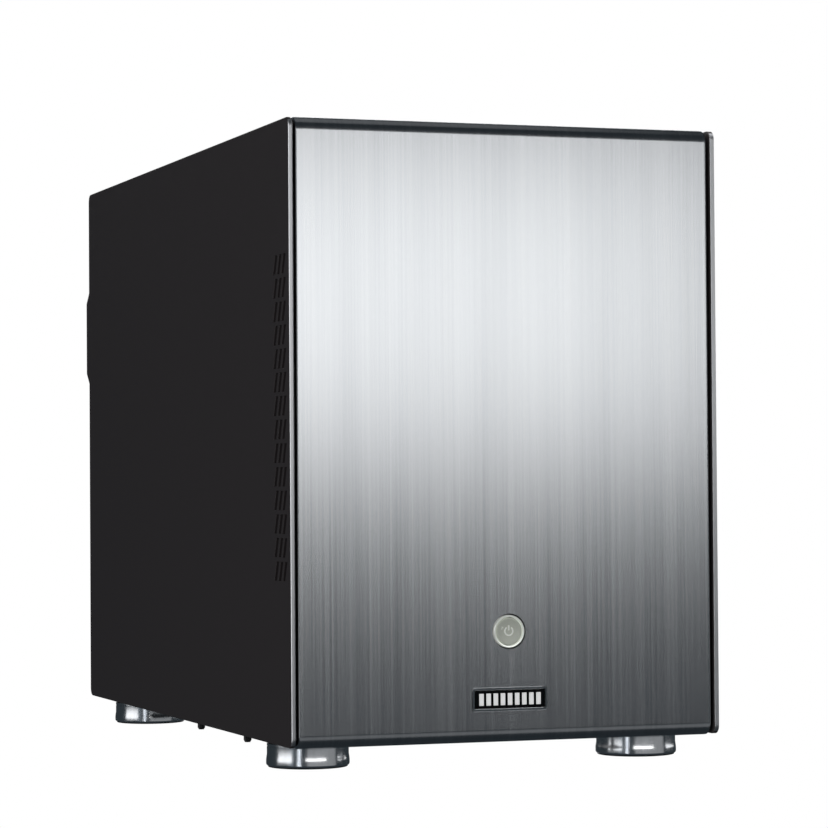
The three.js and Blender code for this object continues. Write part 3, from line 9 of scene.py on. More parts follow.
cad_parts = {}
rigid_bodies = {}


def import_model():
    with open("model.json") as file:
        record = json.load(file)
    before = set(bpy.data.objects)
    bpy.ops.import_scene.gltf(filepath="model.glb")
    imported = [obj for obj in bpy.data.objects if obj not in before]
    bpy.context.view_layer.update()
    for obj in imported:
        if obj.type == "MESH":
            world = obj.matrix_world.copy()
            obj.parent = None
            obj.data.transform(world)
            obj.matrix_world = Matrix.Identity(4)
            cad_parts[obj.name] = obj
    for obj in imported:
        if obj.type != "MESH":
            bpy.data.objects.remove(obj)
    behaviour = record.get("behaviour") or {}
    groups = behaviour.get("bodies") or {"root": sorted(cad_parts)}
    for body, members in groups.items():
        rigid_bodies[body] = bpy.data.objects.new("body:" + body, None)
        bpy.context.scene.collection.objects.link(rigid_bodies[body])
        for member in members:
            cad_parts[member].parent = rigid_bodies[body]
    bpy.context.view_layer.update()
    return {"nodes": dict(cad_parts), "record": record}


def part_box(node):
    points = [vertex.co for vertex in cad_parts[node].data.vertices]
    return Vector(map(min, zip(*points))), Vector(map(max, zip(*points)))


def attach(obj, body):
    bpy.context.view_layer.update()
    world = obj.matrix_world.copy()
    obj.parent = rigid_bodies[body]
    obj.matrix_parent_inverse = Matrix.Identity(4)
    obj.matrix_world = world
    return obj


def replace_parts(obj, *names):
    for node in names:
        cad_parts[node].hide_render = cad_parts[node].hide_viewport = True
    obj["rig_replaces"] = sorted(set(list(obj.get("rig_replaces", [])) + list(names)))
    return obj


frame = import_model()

MM = 0.001

# Sizes that the frame doesn't hold, in millimetres
COVER_SHEET = 2.0
COVER_ROLL = 5.9
COVER_EDGE = 1.1
PANEL_EDGE = 0.7
PANEL_OUTSIDE = 2.05
PANEL_RIM = 1.0
HOLE_CLEAR = 0.3
STUD_FROM_SIDE = 13
STUD_HEIGHTS = (30, 238)
BADGE_POCKET = 0.9
BADGE_BLOCKS = 9
BADGE_BLOCK = {"wide": 2.1, "pitch": 3.3, "half_tall": 2.6, "proud": 0.18, "sunk": 0.05}
BUTTON_DISH = 0.5
FOOT_SKIRT = 1.3
FOOT_RIM = 1.1
FOOT_WAIST = 0.35
BLADES = 7
FAN_FLANGE = 3.2
FAN_CORNER = 4.5
FAN_WALL = 2.2
FAN_SCREW_HOLE = 2.2
BLADE_THICK = 1.3
LAMINATE = 1.6
CAN_TALL = 8
CHIP_TALL = 1.2
PORT_WALL = 2
PORT_MOUTH = 8
AUDIO_STARTS = (117, 135)
AUDIO_WIDE = 14
AUDIO_TALL = 34


# ---- Colour and materials ----

def linear(code):
    """An sRGB hex colour as linear RGBA."""
    def channel(value):
        value /= 255
        return value / 12.92 if value <= 0.04045 else ((value + 0.055) / 1.055) ** 2.4
    return (*[channel(int(code[i:i + 2], 16)) for i in (1, 3, 5)], 1.0)


def add(tree, kind, settings=None, links=None):
    """Adds a node, sets its properties or inputs by name, and links its inputs to other outputs."""
    node = tree.nodes.new(kind)
    for name, value in (settings or {}).items():
        if name in node.inputs:
            node.inputs[name].default_value = value
        else:
            setattr(node, name, value)
    for name, source in (links or {}).items():
        tree.links.new(source, node.inputs[name])
    return node


def new_material(name, **shader_values):
    """A material with its Principled shader's sockets set; returns the material, its tree and the shader."""
    material = bpy.data.materials.new(name)
    material.use_nodes = True
    tree = material.node_tree
    shader = tree.nodes["Principled BSDF"]
    for socket, value in shader_values.items():
        shader.inputs[socket.replace("_", " ")].default_value = value
    return material, tree, shader


def grained(name, dark, light, roughness, grain, stretch=(1, 1, 1), bump=0.05, rough_span=0.08, **values):
    """A finish whose colour, roughness and height follow one fine grain.

    grain is the grain's width in mm; stretch lengthens it along an axis.
    """
    material, tree, shader = new_material(name, **values)
    place = add(tree, "ShaderNodeTexCoord")
    scale = [1 / (grain * MM * s) for s in stretch]
    turned = add(tree, "ShaderNodeMapping", {"Scale": scale}, {"Vector": place.outputs["Object"]})
    noise = add(tree, "ShaderNodeTexNoise", {"Scale": 1.0, "Detail": 3.0, "Roughness": 0.6},
                {"Vector": turned.outputs["Vector"]})
    tone = add(tree, "ShaderNodeMix", {"data_type": "RGBA"}, {"Factor": noise.outputs["Fac"]})
    tone.inputs[6].default_value = linear(dark)
    tone.inputs[7].default_value = linear(light)
    tree.links.new(tone.outputs[2], shader.inputs["Base Color"])
    spread = add(tree, "ShaderNodeMapRange",
                 {"To Min": roughness - rough_span, "To Max": roughness + rough_span},
                 {"Value": noise.outputs["Fac"]})
    tree.links.new(spread.outputs["Result"], shader.inputs["Roughness"])
    relief = add(tree, "ShaderNodeBump", {"Strength": bump, "Distance": grain * MM * 0.3},
                 {"Height": noise.outputs["Fac"]})
    tree.links.new(relief.outputs["Normal"], shader.inputs["Normal"])
    return material


def brushed_anodised():
    # Anodised aluminium sheet brushed upright and over the rolls: fine lines, and broad faint streaks where
    # the brush pressed harder. Real lines are about 0.1 mm wide; they are drawn 0.7 mm wide, to show.
    material, tree, shader = new_material("anodised aluminium, upright brushed", Metallic=1.0)
    place = add(tree, "ShaderNodeTexCoord").outputs["Object"]
    layers = []
    for width, length, detail in ((0.7, 300.0, 2.0), (2.4, 360.0, 2.0), (9.0, 420.0, 1.0)):
        scale = [1 / (width * MM), 1 / (length * MM), 1 / (length * MM)]
        stretched = add(tree, "ShaderNodeMapping", {"Scale": scale}, {"Vector": place})
        layers.append(add(tree, "ShaderNodeTexNoise", {"Scale": 1.0, "Detail": detail, "Roughness": 0.55},
                          {"Vector": stretched.outputs["Vector"]}).outputs["Fac"])
    fine, streak, broad = layers
    both = add(tree, "ShaderNodeMix", {"data_type": "FLOAT", "Factor": 0.30}, {"A": fine, "B": streak})
    mixed = add(tree, "ShaderNodeMix", {"data_type": "FLOAT", "Factor": 0.30},
                {"A": both.outputs["Result"], "B": broad})
    tone = add(tree, "ShaderNodeValToRGB", {}, {"Fac": mixed.outputs["Result"]})
    ramp = tone.color_ramp
    ramp.elements[0].position, ramp.elements[0].color = 0.25, linear("#9a9da1")
    ramp.elements[1].position, ramp.elements[1].color = 0.75, linear("#b4b6b9")
    tree.links.new(tone.outputs["Color"], shader.inputs["Base Color"])
    sheen = add(tree, "ShaderNodeMapRange",
                {"From Min": 0.25, "From Max": 0.75, "To Min": 0.219, "To Max": 0.271},
                {"Value": both.outputs["Result"]})
    tree.links.new(sheen.outputs["Result"], shader.inputs["Roughness"])
    relief = add(tree, "ShaderNodeBump", {"Strength": 0.12, "Distance": 0.00012}, {"Height": fine})
    tree.links.new(relief.outputs["Normal"], shader.inputs["Normal"])
    return material


def bead_blasted_anodised():
    # Black anodised aluminium sheet, bead blasted: matt, nearly even black with a very fine tooth.
    return grained("black anodised aluminium, bead blasted", "#231f20", "#2a2627", 0.5,
                   0.5, (1, 1, 1), 0.12, 0.05, Specular_IOR_Level=0.3)


def bare_edge():
    # The rounded front edge of a side panel, where the anodising is thin and catches the light.
    return grained("anodised aluminium, machined edge", "#a3a4a7", "#b6b7ba", 0.40,
                   0.3, (1, 1, 40), 0.06, 0.05, Metallic=1.0)


def chassis_anodised():
    # Black anodised inner sheet: like the side panels, a little glossier where it is never handled.
    return grained("black anodised aluminium, inner sheet", "#141414", "#1d1d1e", 0.42,
                   0.6, (1, 1, 1), 0.08, 0.06, Specular_IOR_Level=0.4)


def polished_aluminium():
    # Turned and polished aluminium: mirror-like, with faint turning lines round it.
    return grained("aluminium, turned and polished", "#c4c6c9", "#dfe1e4", 0.17,
                   0.5, (1, 1, 30), 0.10, 0.05, Metallic=1.0)


def badge_chrome():
    # Chrome-plated badge edge: bright, slightly worn.
    return grained("chrome plate", "#cfd0d2", "#e6e7e8", 0.14, 0.4, (1, 1, 1), 0.03, 0.04, Metallic=1.0)


def badge_enamel():
    # Black enamel fill: smooth and glossy, very slightly wavy.
    return grained("black enamel", "#060606", "#0c0c0d", 0.12, 2.0, (1, 1, 1), 0.02, 0.03,
                   Specular_IOR_Level=0.5)


def satin_button():
    # Translucent ABS with a satin silver paint: warm grey, fine sparkle. Its faint emission is a painted glow
    # for the light it catches, not a lamp behind it.
    return grained("ABS, satin silver paint", "#b9bdb3", "#d0d4ca", 0.42, 0.2, (1, 1, 1), 0.08, 0.06,
                   Metallic=0.1, Emission_Color=linear("#c9ccbf"), Emission_Strength=0.16)


def painted_glow_ring():
    # Milky polycarbonate ring: pale, glossy, with a painted glow (emission) for its brightness rather than
    # light from a lamp.
    return grained("polycarbonate, milky light guide", "#dfe4df", "#f2f5f1", 0.18, 0.8, (1, 1, 1), 0.02, 0.04,
                   Metallic=0.3, Emission_Color=linear("#eef1ea"), Emission_Strength=0.30)


def printed_mark():
    # Pale printed mark, with a painted glow (emission) for its brightness rather than light through the
    # button.
    return grained("pale print", "#e6eae4", "#f4f7f2", 0.4, 0.3, (1, 1, 1), 0.02, 0.05,
                   Emission_Color=linear("#e4e7de"), Emission_Strength=0.30)


def badge_plate_painted_glow():
    # Bright satin plating on the badge's raised blocks: near white, with a painted glow (emission) standing
    # in for the highlights they catch.
    return grained("bright satin plate", "#eeeeec", "#fbfbfa", 0.5, 0.3, (1, 1, 1), 0.03, 0.05,
                   Metallic=0.4, Emission_Color=linear("#ffffff"), Emission_Strength=0.35)


def black_rubber():
    # Moulded rubber: deep black-grey, dull, slightly dusty.
    return grained("rubber, moulded", "#121214", "#1f1f21", 0.8, 0.7, (1, 1, 1), 0.2, 0.08)


def moulded_plastic():
    # Black PBT as fans and sockets are made of: spark-eroded mould texture, semi-matt.
    return grained("PBT plastic, moulded black", "#0f0f10", "#19191b", 0.48, 0.35, (1, 1, 1), 0.15, 0.07)


def gloss_plastic():
    # Black ABS rocker: polished mould, glossy.
    return grained("ABS, gloss black", "#09090a", "#101011", 0.18, 1.2, (1, 1, 1), 0.02, 0.04)


def powder_coat():
    # Black powder coat on steel: fine orange peel.
    return grained("powder coat, black", "#141415", "#1b1b1c", 0.45, 1.1, (1, 1, 1), 0.25, 0.06)


def nickel_plate():
    # Nickel-plated steel screws and wire: bright, warm grey.
    return grained("nickel plate", "#a9a7a2", "#c3c1bc", 0.22, 0.4, (1, 1, 1), 0.04, 0.06, Metallic=1.0)


def zinc_plate():
    # Zinc-plated steel sheet: grey, with a faint cloudy spangle.
    return grained("zinc-plated steel", "#8f9193", "#adafb1", 0.34, 4.0, (1, 1, 1), 0.05, 0.08, Metallic=1.0)


def mill_aluminium():
    # Extruded aluminium, mill finish: pale, with drawing lines along its length.
    return grained("aluminium, mill finish", "#aeb0b2", "#cccdcf", 0.34, 0.5, (1, 40, 1), 0.08, 0.06,
                   Metallic=1.0)


def cast_aluminium():
    # Die-cast drive body: grey, grainy.
    return grained("aluminium, die cast", "#6f7173", "#8b8d8f", 0.5, 0.8, (1, 1, 1), 0.25, 0.08, Metallic=1.0)


def solder_mask():
    # Green solder mask over glass-fibre board: semi-gloss, with the weave just showing.
    return grained("solder mask, green", "#12301f", "#1b4029", 0.35, 0.9, (1, 6, 1), 0.08, 0.08)


def chip_epoxy():
    # Moulded epoxy chip bodies: dark grey, matt.
    return grained("epoxy, moulded chip", "#161617", "#232324", 0.6, 0.5, (1, 1, 1), 0.1, 0.06)


def coloured_plastic(name, dark, light):
    # Coloured socket plastic: even, satin.
    return grained(f"polypropylene, {name}", dark, light, 0.45, 0.5, (1, 1, 1), 0.05, 0.05)


def paper_label():
    # Matt printed paper label: off white.
    return grained("paper label, matt", "#b9bab6", "#c9cac6", 0.7, 0.6, (1, 1, 1), 0.03, 0.05)


def cable_braid():
    # Black polyester sleeve: a fine woven look.
    return grained("polyester sleeve, braided", "#0d0d0e", "#262628", 0.7, 0.9, (1, 1, 1), 0.5, 0.06)


MATERIALS = {
    "cover": brushed_anodised(),
    "side": bead_blasted_anodised(),
    "edge": bare_edge(),
    "chassis": chassis_anodised(),
    "foot": polished_aluminium(),
    "chrome": badge_chrome(),
    "enamel": badge_enamel(),
    "button": satin_button(),
    "ring": painted_glow_ring(),
    "mark": printed_mark(),
    "bright": badge_plate_painted_glow(),
    "rubber": black_rubber(),
    "plastic": moulded_plastic(),
    "gloss": gloss_plastic(),
    "powder": powder_coat(),
    "nickel": nickel_plate(),
    "zinc": zinc_plate(),
    "mill": mill_aluminium(),
    "cast": cast_aluminium(),
    "mask": solder_mask(),
    "chip": chip_epoxy(),
    "sleeve": cable_braid(),
    "label": paper_label(),
    "blue": coloured_plastic("blue", "#173f86", "#1d4d9f"),
    "green": coloured_plastic("green", "#3f8a3a", "#4c9c46"),
    "pink": coloured_plastic("pink", "#b9506f", "#c95f80"),
    "sky": coloured_plastic("light blue", "#3d7fb0", "#4a8ec0"),
}


# ---- Making pieces ----

def piece(name, shape, material, body, replaces=()):
    """Turns a finished bmesh into an object that rides on a body and takes a slot's finish."""
    mesh = bpy.data.meshes.new(name)
    shape.to_mesh(mesh)
    shape.free()
    for key in [material] if isinstance(material, str) else material:
        mesh.materials.append(MATERIALS[key])
    for face in mesh.polygons:
        face.use_smooth = True
    mesh.set_sharp_from_angle(angle=math.radians(40))
    made = bpy.data.objects.new(name, mesh)
    bpy.context.scene.collection.objects.link(made)
    weigh = made.modifiers.new("flat faces stay flat", "WEIGHTED_NORMAL")
    weigh.keep_sharp = True
    if replaces:
        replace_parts(made, *replaces)
    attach(made, body)
    return made


def merged_copy(node, flat=0.4):
    """A CAD node's shape as a bmesh with shared vertices and whole flat faces."""
    shape = bmesh.new()
    shape.from_mesh(frame["nodes"][node].data)
    bmesh.ops.remove_doubles(shape, verts=shape.verts, dist=2e-6)
    bmesh.ops.dissolve_limit(shape, angle_limit=math.radians(flat), verts=shape.verts, edges=shape.edges)
    return shape


def sharp_edges(shape, least=30, keep=lambda edge: True):
    """Edges whose faces meet at more than `least` degrees."""
    return [
        edge for edge in shape.edges
        if len(edge.link_faces) == 2 and edge.calc_face_angle(0) > math.radians(least) and keep(edge)
    ]


def round_edges(shape, width, segments=2, edges=None):
    """Rounds edges over, by default every sharp one. width is in mm."""
    bmesh.ops.bevel(
        shape, geom=edges if edges is not None else sharp_edges(shape), offset=width * MM,
        affect="EDGES", segments=segments, profile=0.5, material=-1, clamp_overlap=True,
    )


def finish_node(node, material, width=0.3, segments=2):
    """Replaces a CAD node with the same shape, its edges eased as the real part's are."""
    shape = merged_copy(node)
    round_edges(shape, width, segments)
    body = body_of(node)
    return piece(node + "_finished", shape, material, body, [node])


def body_of(node):
    """The body that a CAD node rides on."""
    bodies = frame["record"]["behaviour"]["bodies"]
    return next(body for body, nodes in bodies.items() if node in nodes)


def centre_of(node):
    """The middle of a CAD node's box."""
    low, high = (Vector(corner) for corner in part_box(node))
    return (low + high) / 2


def box_shape(low, high):
    """A box between two corners, in metres."""
    shape = bmesh.new()
    low, high = Vector(low), Vector(high)
    place = Matrix.Translation((low + high) / 2) @ Matrix.Diagonal((*(high - low), 1))
    bmesh.ops.create_cube(shape, size=1.0, matrix=place)
    return shape


def add_boxes(shape, boxes, material=0):
    """Adds boxes, each two corners in mm, to a bmesh, and gives their faces one material."""
    for low, high in boxes:
        before = set(shape.faces)
        low, high = Vector(low) * MM, Vector(high) * MM
        place = Matrix.Translation((low + high) / 2) @ Matrix.Diagonal((*(high - low), 1))
        bmesh.ops.create_cube(shape, size=1.0, matrix=place)
        for face in set(shape.faces) - before:
            face.material_index = material


def spun(profile, centre, axis, steps=64):
    """A profile of (radius, distance along the axis) pairs in mm, spun round an axis through centre."""
    shape = bmesh.new()
    points = [shape.verts.new((radius * MM, 0, along * MM)) for radius, along in profile]
    edges = [shape.edges.new(pair) for pair in zip(points, points[1:])]
    bmesh.ops.spin(shape, geom=points + edges, cent=(0, 0, 0), axis=(0, 0, 1), angle=math.tau,
                   steps=steps, use_merge=True)
    bmesh.ops.remove_doubles(shape, verts=shape.verts, dist=1e-6)
    bmesh.ops.recalc_face_normals(shape, faces=shape.faces)
    turn = Vector((0, 0, 1)).rotation_difference(Vector(axis)).to_matrix().to_4x4()
    bmesh.ops.transform(shape, matrix=Matrix.Translation(centre) @ turn, verts=shape.verts)
    return shape


def arc(centre_u, centre_v, radius, start, end, steps):
    """Points along an arc; angles in degrees."""
    return [
        (centre_u + radius * math.cos(math.radians(start + (end - start) * i / steps)),
         centre_v + radius * math.sin(math.radians(start + (end - start) * i / steps)))
        for i in range(steps + 1)
    ]


def cut_out(target, cutter):
    """Cuts one bmesh out of another and returns the result."""
    objects = []
    for shape in (target, cutter):
        mesh = bpy.data.meshes.new("cutting")
        shape.to_mesh(mesh)
        shape.free()
        made = bpy.data.objects.new("cutting", mesh)
        bpy.context.scene.collection.objects.link(made)
        objects.append(made)
    cut = objects[0].modifiers.new("cut", "BOOLEAN")
    cut.operation = "DIFFERENCE"
    cut.object = objects[1]
    cut.solver = "EXACT"
    evaluated = objects[0].evaluated_get(bpy.context.evaluated_depsgraph_get())
    result = bmesh.new()
    result.from_mesh(evaluated.to_mesh())
    for made in objects:
        bpy.data.objects.remove(made)
    return result


# ---- Front cover ----

def front_cover():
    """The brushed plate, rolled back at its top and bottom, with softened upright edges."""
    low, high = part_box("front_cover")
    lip_end = frame_lip_end()
    shape = box_shape(low, (high[0], lip_end, high[2]))
    gone = [face for face in shape.faces if abs(face.normal.x) > 0.9 or face.normal.y > 0.9]
    bmesh.ops.delete(shape, geom=gone, context="FACES")
    rolled = sharp_edges(shape, 80)
    bmesh.ops.bevel(shape, geom=rolled, offset=COVER_ROLL * MM, affect="EDGES", segments=14,
                    profile=0.5, material=-1)
    bmesh.ops.solidify(shape, geom=shape.faces, thickness=COVER_SHEET * MM)
    bmesh.ops.recalc_face_normals(shape, faces=shape.faces)
    edge_x = high[0]
    front = low[1]
    outer = [
        edge for edge in sharp_edges(shape, 60)
        if all(abs(abs(v.co.x) - edge_x) < 1e-5 for v in edge.verts)
        and is_outer_skin(edge, front, low[2], high[2])
    ]
    bmesh.ops.bevel(shape, geom=outer, offset=COVER_EDGE * MM, affect="EDGES", segments=4,
                    profile=0.5, material=-1)
    return shape


def frame_lip_end():
    """Where the cover's rolled lips end, just ahead of the front wall."""
    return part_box("front_wall")[0][1] - HOLE_CLEAR * MM


def is_outer_skin(edge, front, bottom, top):
    """True for an edge on the outside of the rolled sheet."""
    roll = COVER_ROLL * MM
    for vertex in edge.verts:
        y, z = vertex.co.y - front, vertex.co.z
        flat_front = abs(y) < 1e-5
        flat_end = abs(z - top) < 1e-5 or abs(z - bottom) < 1e-5
        corner = min(
            abs(math.hypot(y - roll, z - (top - roll)) - roll),
            abs(math.hypot(y - roll, z - (bottom + roll)) - roll),
        )
        if not (flat_front or flat_end or corner < 1e-5):
            return False
    return True


def rounded_slab(low, high, radius, steps=5):
    """A slab in the X-Z plane with rounded corners, between two corners in metres."""
    shape = box_shape(low, high)
    uprights = [
        edge for edge in shape.edges
        if abs(edge.verts[0].co.x - edge.verts[1].co.x) < 1e-9
        and abs(edge.verts[0].co.z - edge.verts[1].co.z) < 1e-9
    ]
    bmesh.ops.bevel(shape, geom=uprights, offset=radius * MM, affect="EDGES", segments=steps,
                    profile=0.5, material=-1)
    return shape


def make_front_cover():
    shape = front_cover()
    button = centre_of("button_ring")
    ring_low, ring_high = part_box("button_ring")
    bore_radius = (ring_high[0] - ring_low[0]) / 2 / MM + HOLE_CLEAR
    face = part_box("front_cover")[0][1]
    bore = spun([(0, -3), (bore_radius, -3), (bore_radius, 6), (0, 6)],
                (button.x, face, button.z), (0, 1, 0), 96)
    shape = cut_out(shape, bore)
    rim_low, rim_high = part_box("badge_rim")
    gap = HOLE_CLEAR * MM
    pocket = rounded_slab(
        (rim_low[0] - gap, face - 5 * MM, rim_low[2] - gap),
        (rim_high[0] + gap, face + BADGE_POCKET * MM, rim_high[2] + gap), 1.5)
    shape = cut_out(shape, pocket)
    piece("front_cover_plate", shape, "cover", "front_cover", ["front_cover"])
    make_cover_studs()


def make_cover_studs():
    """Four plain posts behind the cover that push into the front wall."""
    cover_low, cover_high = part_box("front_cover")
    start = cover_low[1] + (COVER_SHEET + HOLE_CLEAR / 3) * MM
    wall_low, wall_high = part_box("front_wall")
    side_low, side_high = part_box("left_side_panel")
    x = wall_high[0] - STUD_FROM_SIDE * MM
    length = (cover_high[1] - start) / MM
    tip = 1.2
    corners = [(way, height) for height in STUD_HEIGHTS for way in (-1, 1)]
    for i, (way, height) in enumerate(corners):
        profile = [(0, 0), (4.6, 0), (4.6, 1.2), (2.2, 2.2), (2.2, length - 6), (3.0, length - 4.5),
                   (3.0, length - tip), (2.0, length), (0, length)]
        post = spun(profile, (way * x, start, side_low[2] + height * MM), (0, 1, 0), 24)
        piece(f"cover_stud_{i + 1}", post, "plastic", "front_cover")


# ---- Badge ----

def make_badge():
    """A thin bright rim round black enamel, with a plain row of raised blocks in place of any lettering."""
    finish_node("badge_rim", "chrome", 0.15, 3)
    finish_node("badge_inlay", "enamel", 0.1, 2)
    low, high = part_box("badge_inlay")
    middle = (low[2] + high[2]) / 2
    wide, pitch, half_tall, proud, sunk = BADGE_BLOCK.values()
    for i in range(BADGE_BLOCKS):
        x = (i - (BADGE_BLOCKS - 1) / 2) * pitch
        shape = box_shape(
            ((x - wide / 2) * MM, low[1] - proud * MM, middle - half_tall * MM),
            ((x + wide / 2) * MM, low[1] + sunk * MM, middle + half_tall * MM))
        round_edges(shape, 0.15, 3)
        # The blocks take the bright plating with its painted glow.
        piece(f"badge_block_{i + 1}", shape, "bright", "front_cover")


# ---- Power button ----

def make_power_button():
    low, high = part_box("power_button")
    centre = (centre_of("power_button").x, low[1], centre_of("power_button").z)
    radius = (high[0] - low[0]) / 2 / MM
    depth = (high[1] - low[1]) / MM
    face = [(0, BUTTON_DISH)] + [(radius * s, BUTTON_DISH * (1 - s ** 2)) for s in (0.2, 0.4, 0.6, 0.8)]
    rim = [(radius - 0.45, 0.02), (radius - 0.15, 0.08), (radius, 0.35)]
    tail = [(radius, 4.7), (2.2, 4.7), (2.2, depth), (0, depth)]
    piece("power_button_cap", spun(face + rim + tail, centre, (0, 1, 0), 72), "button",
          "power_button", ["power_button"])
    make_power_mark(centre)
    ring_low, ring_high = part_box("button_ring")
    outer = (ring_high[0] - ring_low[0]) / 2 / MM
    inner = radius + 0.25
    length = (ring_high[1] - ring_low[1]) / MM
    # The ring takes the milky material with its painted glow.
    ring = spun(
        [(inner, length), (inner, 0.35), (inner + 0.15, 0.06), (outer - 0.6, 0), (outer - 0.35, 0.25),
         (outer - 0.35, length), (inner, length)],
        (centre[0], ring_low[1], centre[2]), (0, 1, 0), 72)
    piece("button_light_ring", ring, "ring", "front_cover", ["button_ring"])
    finish_node("power_switch", "plastic", 0.3)


def make_power_mark(centre):
    """The usual power mark, an open ring and a bar, printed on the button's dish."""
    width = 0.58
    radius = 1.85
    outline = arc(0, 0.1, radius + width / 2, 125, 415, 30) + arc(0, 0.1, radius - width / 2, 415, 125, 30)
    bar = [(-width / 2, 0.4), (width / 2, 0.4), (width / 2, 2.6), (-width / 2, 2.6)]
    shape = bmesh.new()
    places = ((0, 0), (0.55, 0.45), (0.1, 0.8), (-0.5, 0.4))
    dots = [arc(-3.3 + u, 1.1 + v, 0.22, 0, 330, 11) for u, v in places]
    for points in (outline, bar, *dots):
        raise_outline(shape, points, centre)
    piece("power_mark", shape, "mark", "power_button")


def raise_outline(shape, points, centre):
    """Adds a thin raised shape with this outline, in mm in the X-Z plane about centre, facing forward."""
    front = centre[1] + (BUTTON_DISH - 0.22) * MM
    corners = [shape.verts.new((centre[0] + u * MM, front, centre[2] + v * MM)) for u, v in points]
    face = shape.faces.new(corners)
    made = bmesh.ops.extrude_face_region(shape, geom=[face])
    moved = [item for item in made["geom"] if isinstance(item, bmesh.types.BMVert)]
    bmesh.ops.translate(shape, verts=moved, vec=(0, 0.3 * MM, 0))
    bmesh.ops.recalc_face_normals(shape, faces=shape.faces)


# ---- Side panels ----

def make_side_panel(node):
    """A panel's CAD shape with its outline well rounded, its slots just eased and its front edge bright."""
    low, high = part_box(node)
    shape = merged_copy(node)
    slots = (low[1] + 4 * MM, low[1] + 26 * MM, low[2] + 5 * MM, high[2] - 5 * MM)

    def on_outline(edge):
        middle = (edge.verts[0].co + edge.verts[1].co) / 2
        in_slots = slots[0] < middle.y < slots[1] and slots[2] < middle.z < slots[3]
        outside = abs(middle.x) > max(abs(low[0]), abs(high[0])) - PANEL_OUTSIDE * MM
        return outside and not in_slots

    outline = sharp_edges(shape, 40, on_outline)
    round_edges(shape, PANEL_EDGE, 3, outline)
    round_edges(shape, 0.2, 1, sharp_edges(shape, 40, lambda edge: not on_outline(edge)))
    shape.normal_update()
    for face in shape.faces:
        if face.normal.y < -0.55 and face.calc_center_median().y < low[1] + PANEL_RIM * MM:
            face.material_index = 1
    piece(node + "_sheet", shape, ("side", "edge"), body_of(node), [node])


# ---- Feet ----

def make_foot(end, side):
    """A turned foot: a bright polished wall with one fine groove, its rim reaching down round the pad."""
    node = f"foot_{end}_{side}"
    low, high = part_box(node)
    centre = centre_of(node)
    radius = (high[0] - low[0]) / 2 / MM
    height = (high[2] - low[2]) / MM
    waist = radius - FOOT_WAIST
    rim = arc(radius - FOOT_RIM, FOOT_RIM - FOOT_SKIRT, FOOT_RIM, -60, 0, 6)
    profile = [(0, 0), (radius - FOOT_RIM / 2, 0), *rim, (radius, 1.2),
               (radius - 0.1, 2.2), (waist, 3.8), (waist, height - 1.9), (waist - 0.25, height - 1.75),
               (waist - 0.25, height - 1.55), (waist, height - 1.4), (waist, height - 0.4),
               (waist - 0.35, height), (0, height)]
    wall = spun(profile, (centre.x, centre.y, low[2]), (0, 0, 1), 96)
    piece(f"{node}_turned", wall, "foot", body_of(node), [node])
    pad = f"foot_pad_{end}_{side}"
    pad_low, pad_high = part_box(pad)
    reach = (pad_high[0] - pad_low[0]) / 2 / MM
    thick = (pad_high[2] - pad_low[2]) / MM
    disc = [(0, 0), (reach - 4, 0), (reach - 3.6, 0.25), (reach - 3.2, 0), (reach - 0.4, 0),
            *arc(reach - 0.4, 0.4, 0.4, -90, 0, 4), (reach, thick), (0, thick)]
    piece(f"{pad}_disc", spun(disc, (centre.x, centre.y, pad_low[2]), (0, 0, 1), 72), "rubber",
          body_of(pad), [pad])


# ---- Fans ----

def fan_place(name, axis):
    """The matrix from a fan's own frame to the row frame, its size and its depth; own +Z runs along axis."""
    low, high = (Vector(corner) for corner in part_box(name + "_frame"))
    axis = Vector(axis)
    extent = high - low
    depth = abs(extent.dot(axis))
    size = max(extent)
    turn = Vector((0, 0, 1)).rotation_difference(axis).to_matrix().to_4x4()
    place = Matrix.Translation((low + high) / 2 - axis * depth / 2) @ turn
    return place, size / MM, depth / MM


def absorb(whole, part):
    """Adds one bmesh to another."""
    mesh = bpy.data.meshes.new("part")
    part.to_mesh(mesh)
    part.free()
    whole.from_mesh(mesh)
    bpy.data.meshes.remove(mesh)


def upright_slab(half, corner, low, high, steps=6):
    """A square slab with rounded corners in mm, lying flat, between two heights."""
    shape = box_shape((-half * MM, -half * MM, low * MM), (half * MM, half * MM, high * MM))
    uprights = [edge for edge in shape.edges if abs(edge.verts[0].co.z - edge.verts[1].co.z) > 1e-6]
    bmesh.ops.bevel(shape, geom=uprights, offset=corner * MM, affect="EDGES", segments=steps,
                    profile=0.5, material=-1)
    return shape


def cutting_rod(radius, low, high, place, steps):
    """An upright rod in mm that passes 1 mm beyond two heights, to cut a hole with."""
    profile = [(0, low - 1), (radius, low - 1), (radius, high + 1), (0, high + 1)]
    return spun(profile, (place[0] * MM, place[1] * MM, 0), (0, 0, 1), steps)


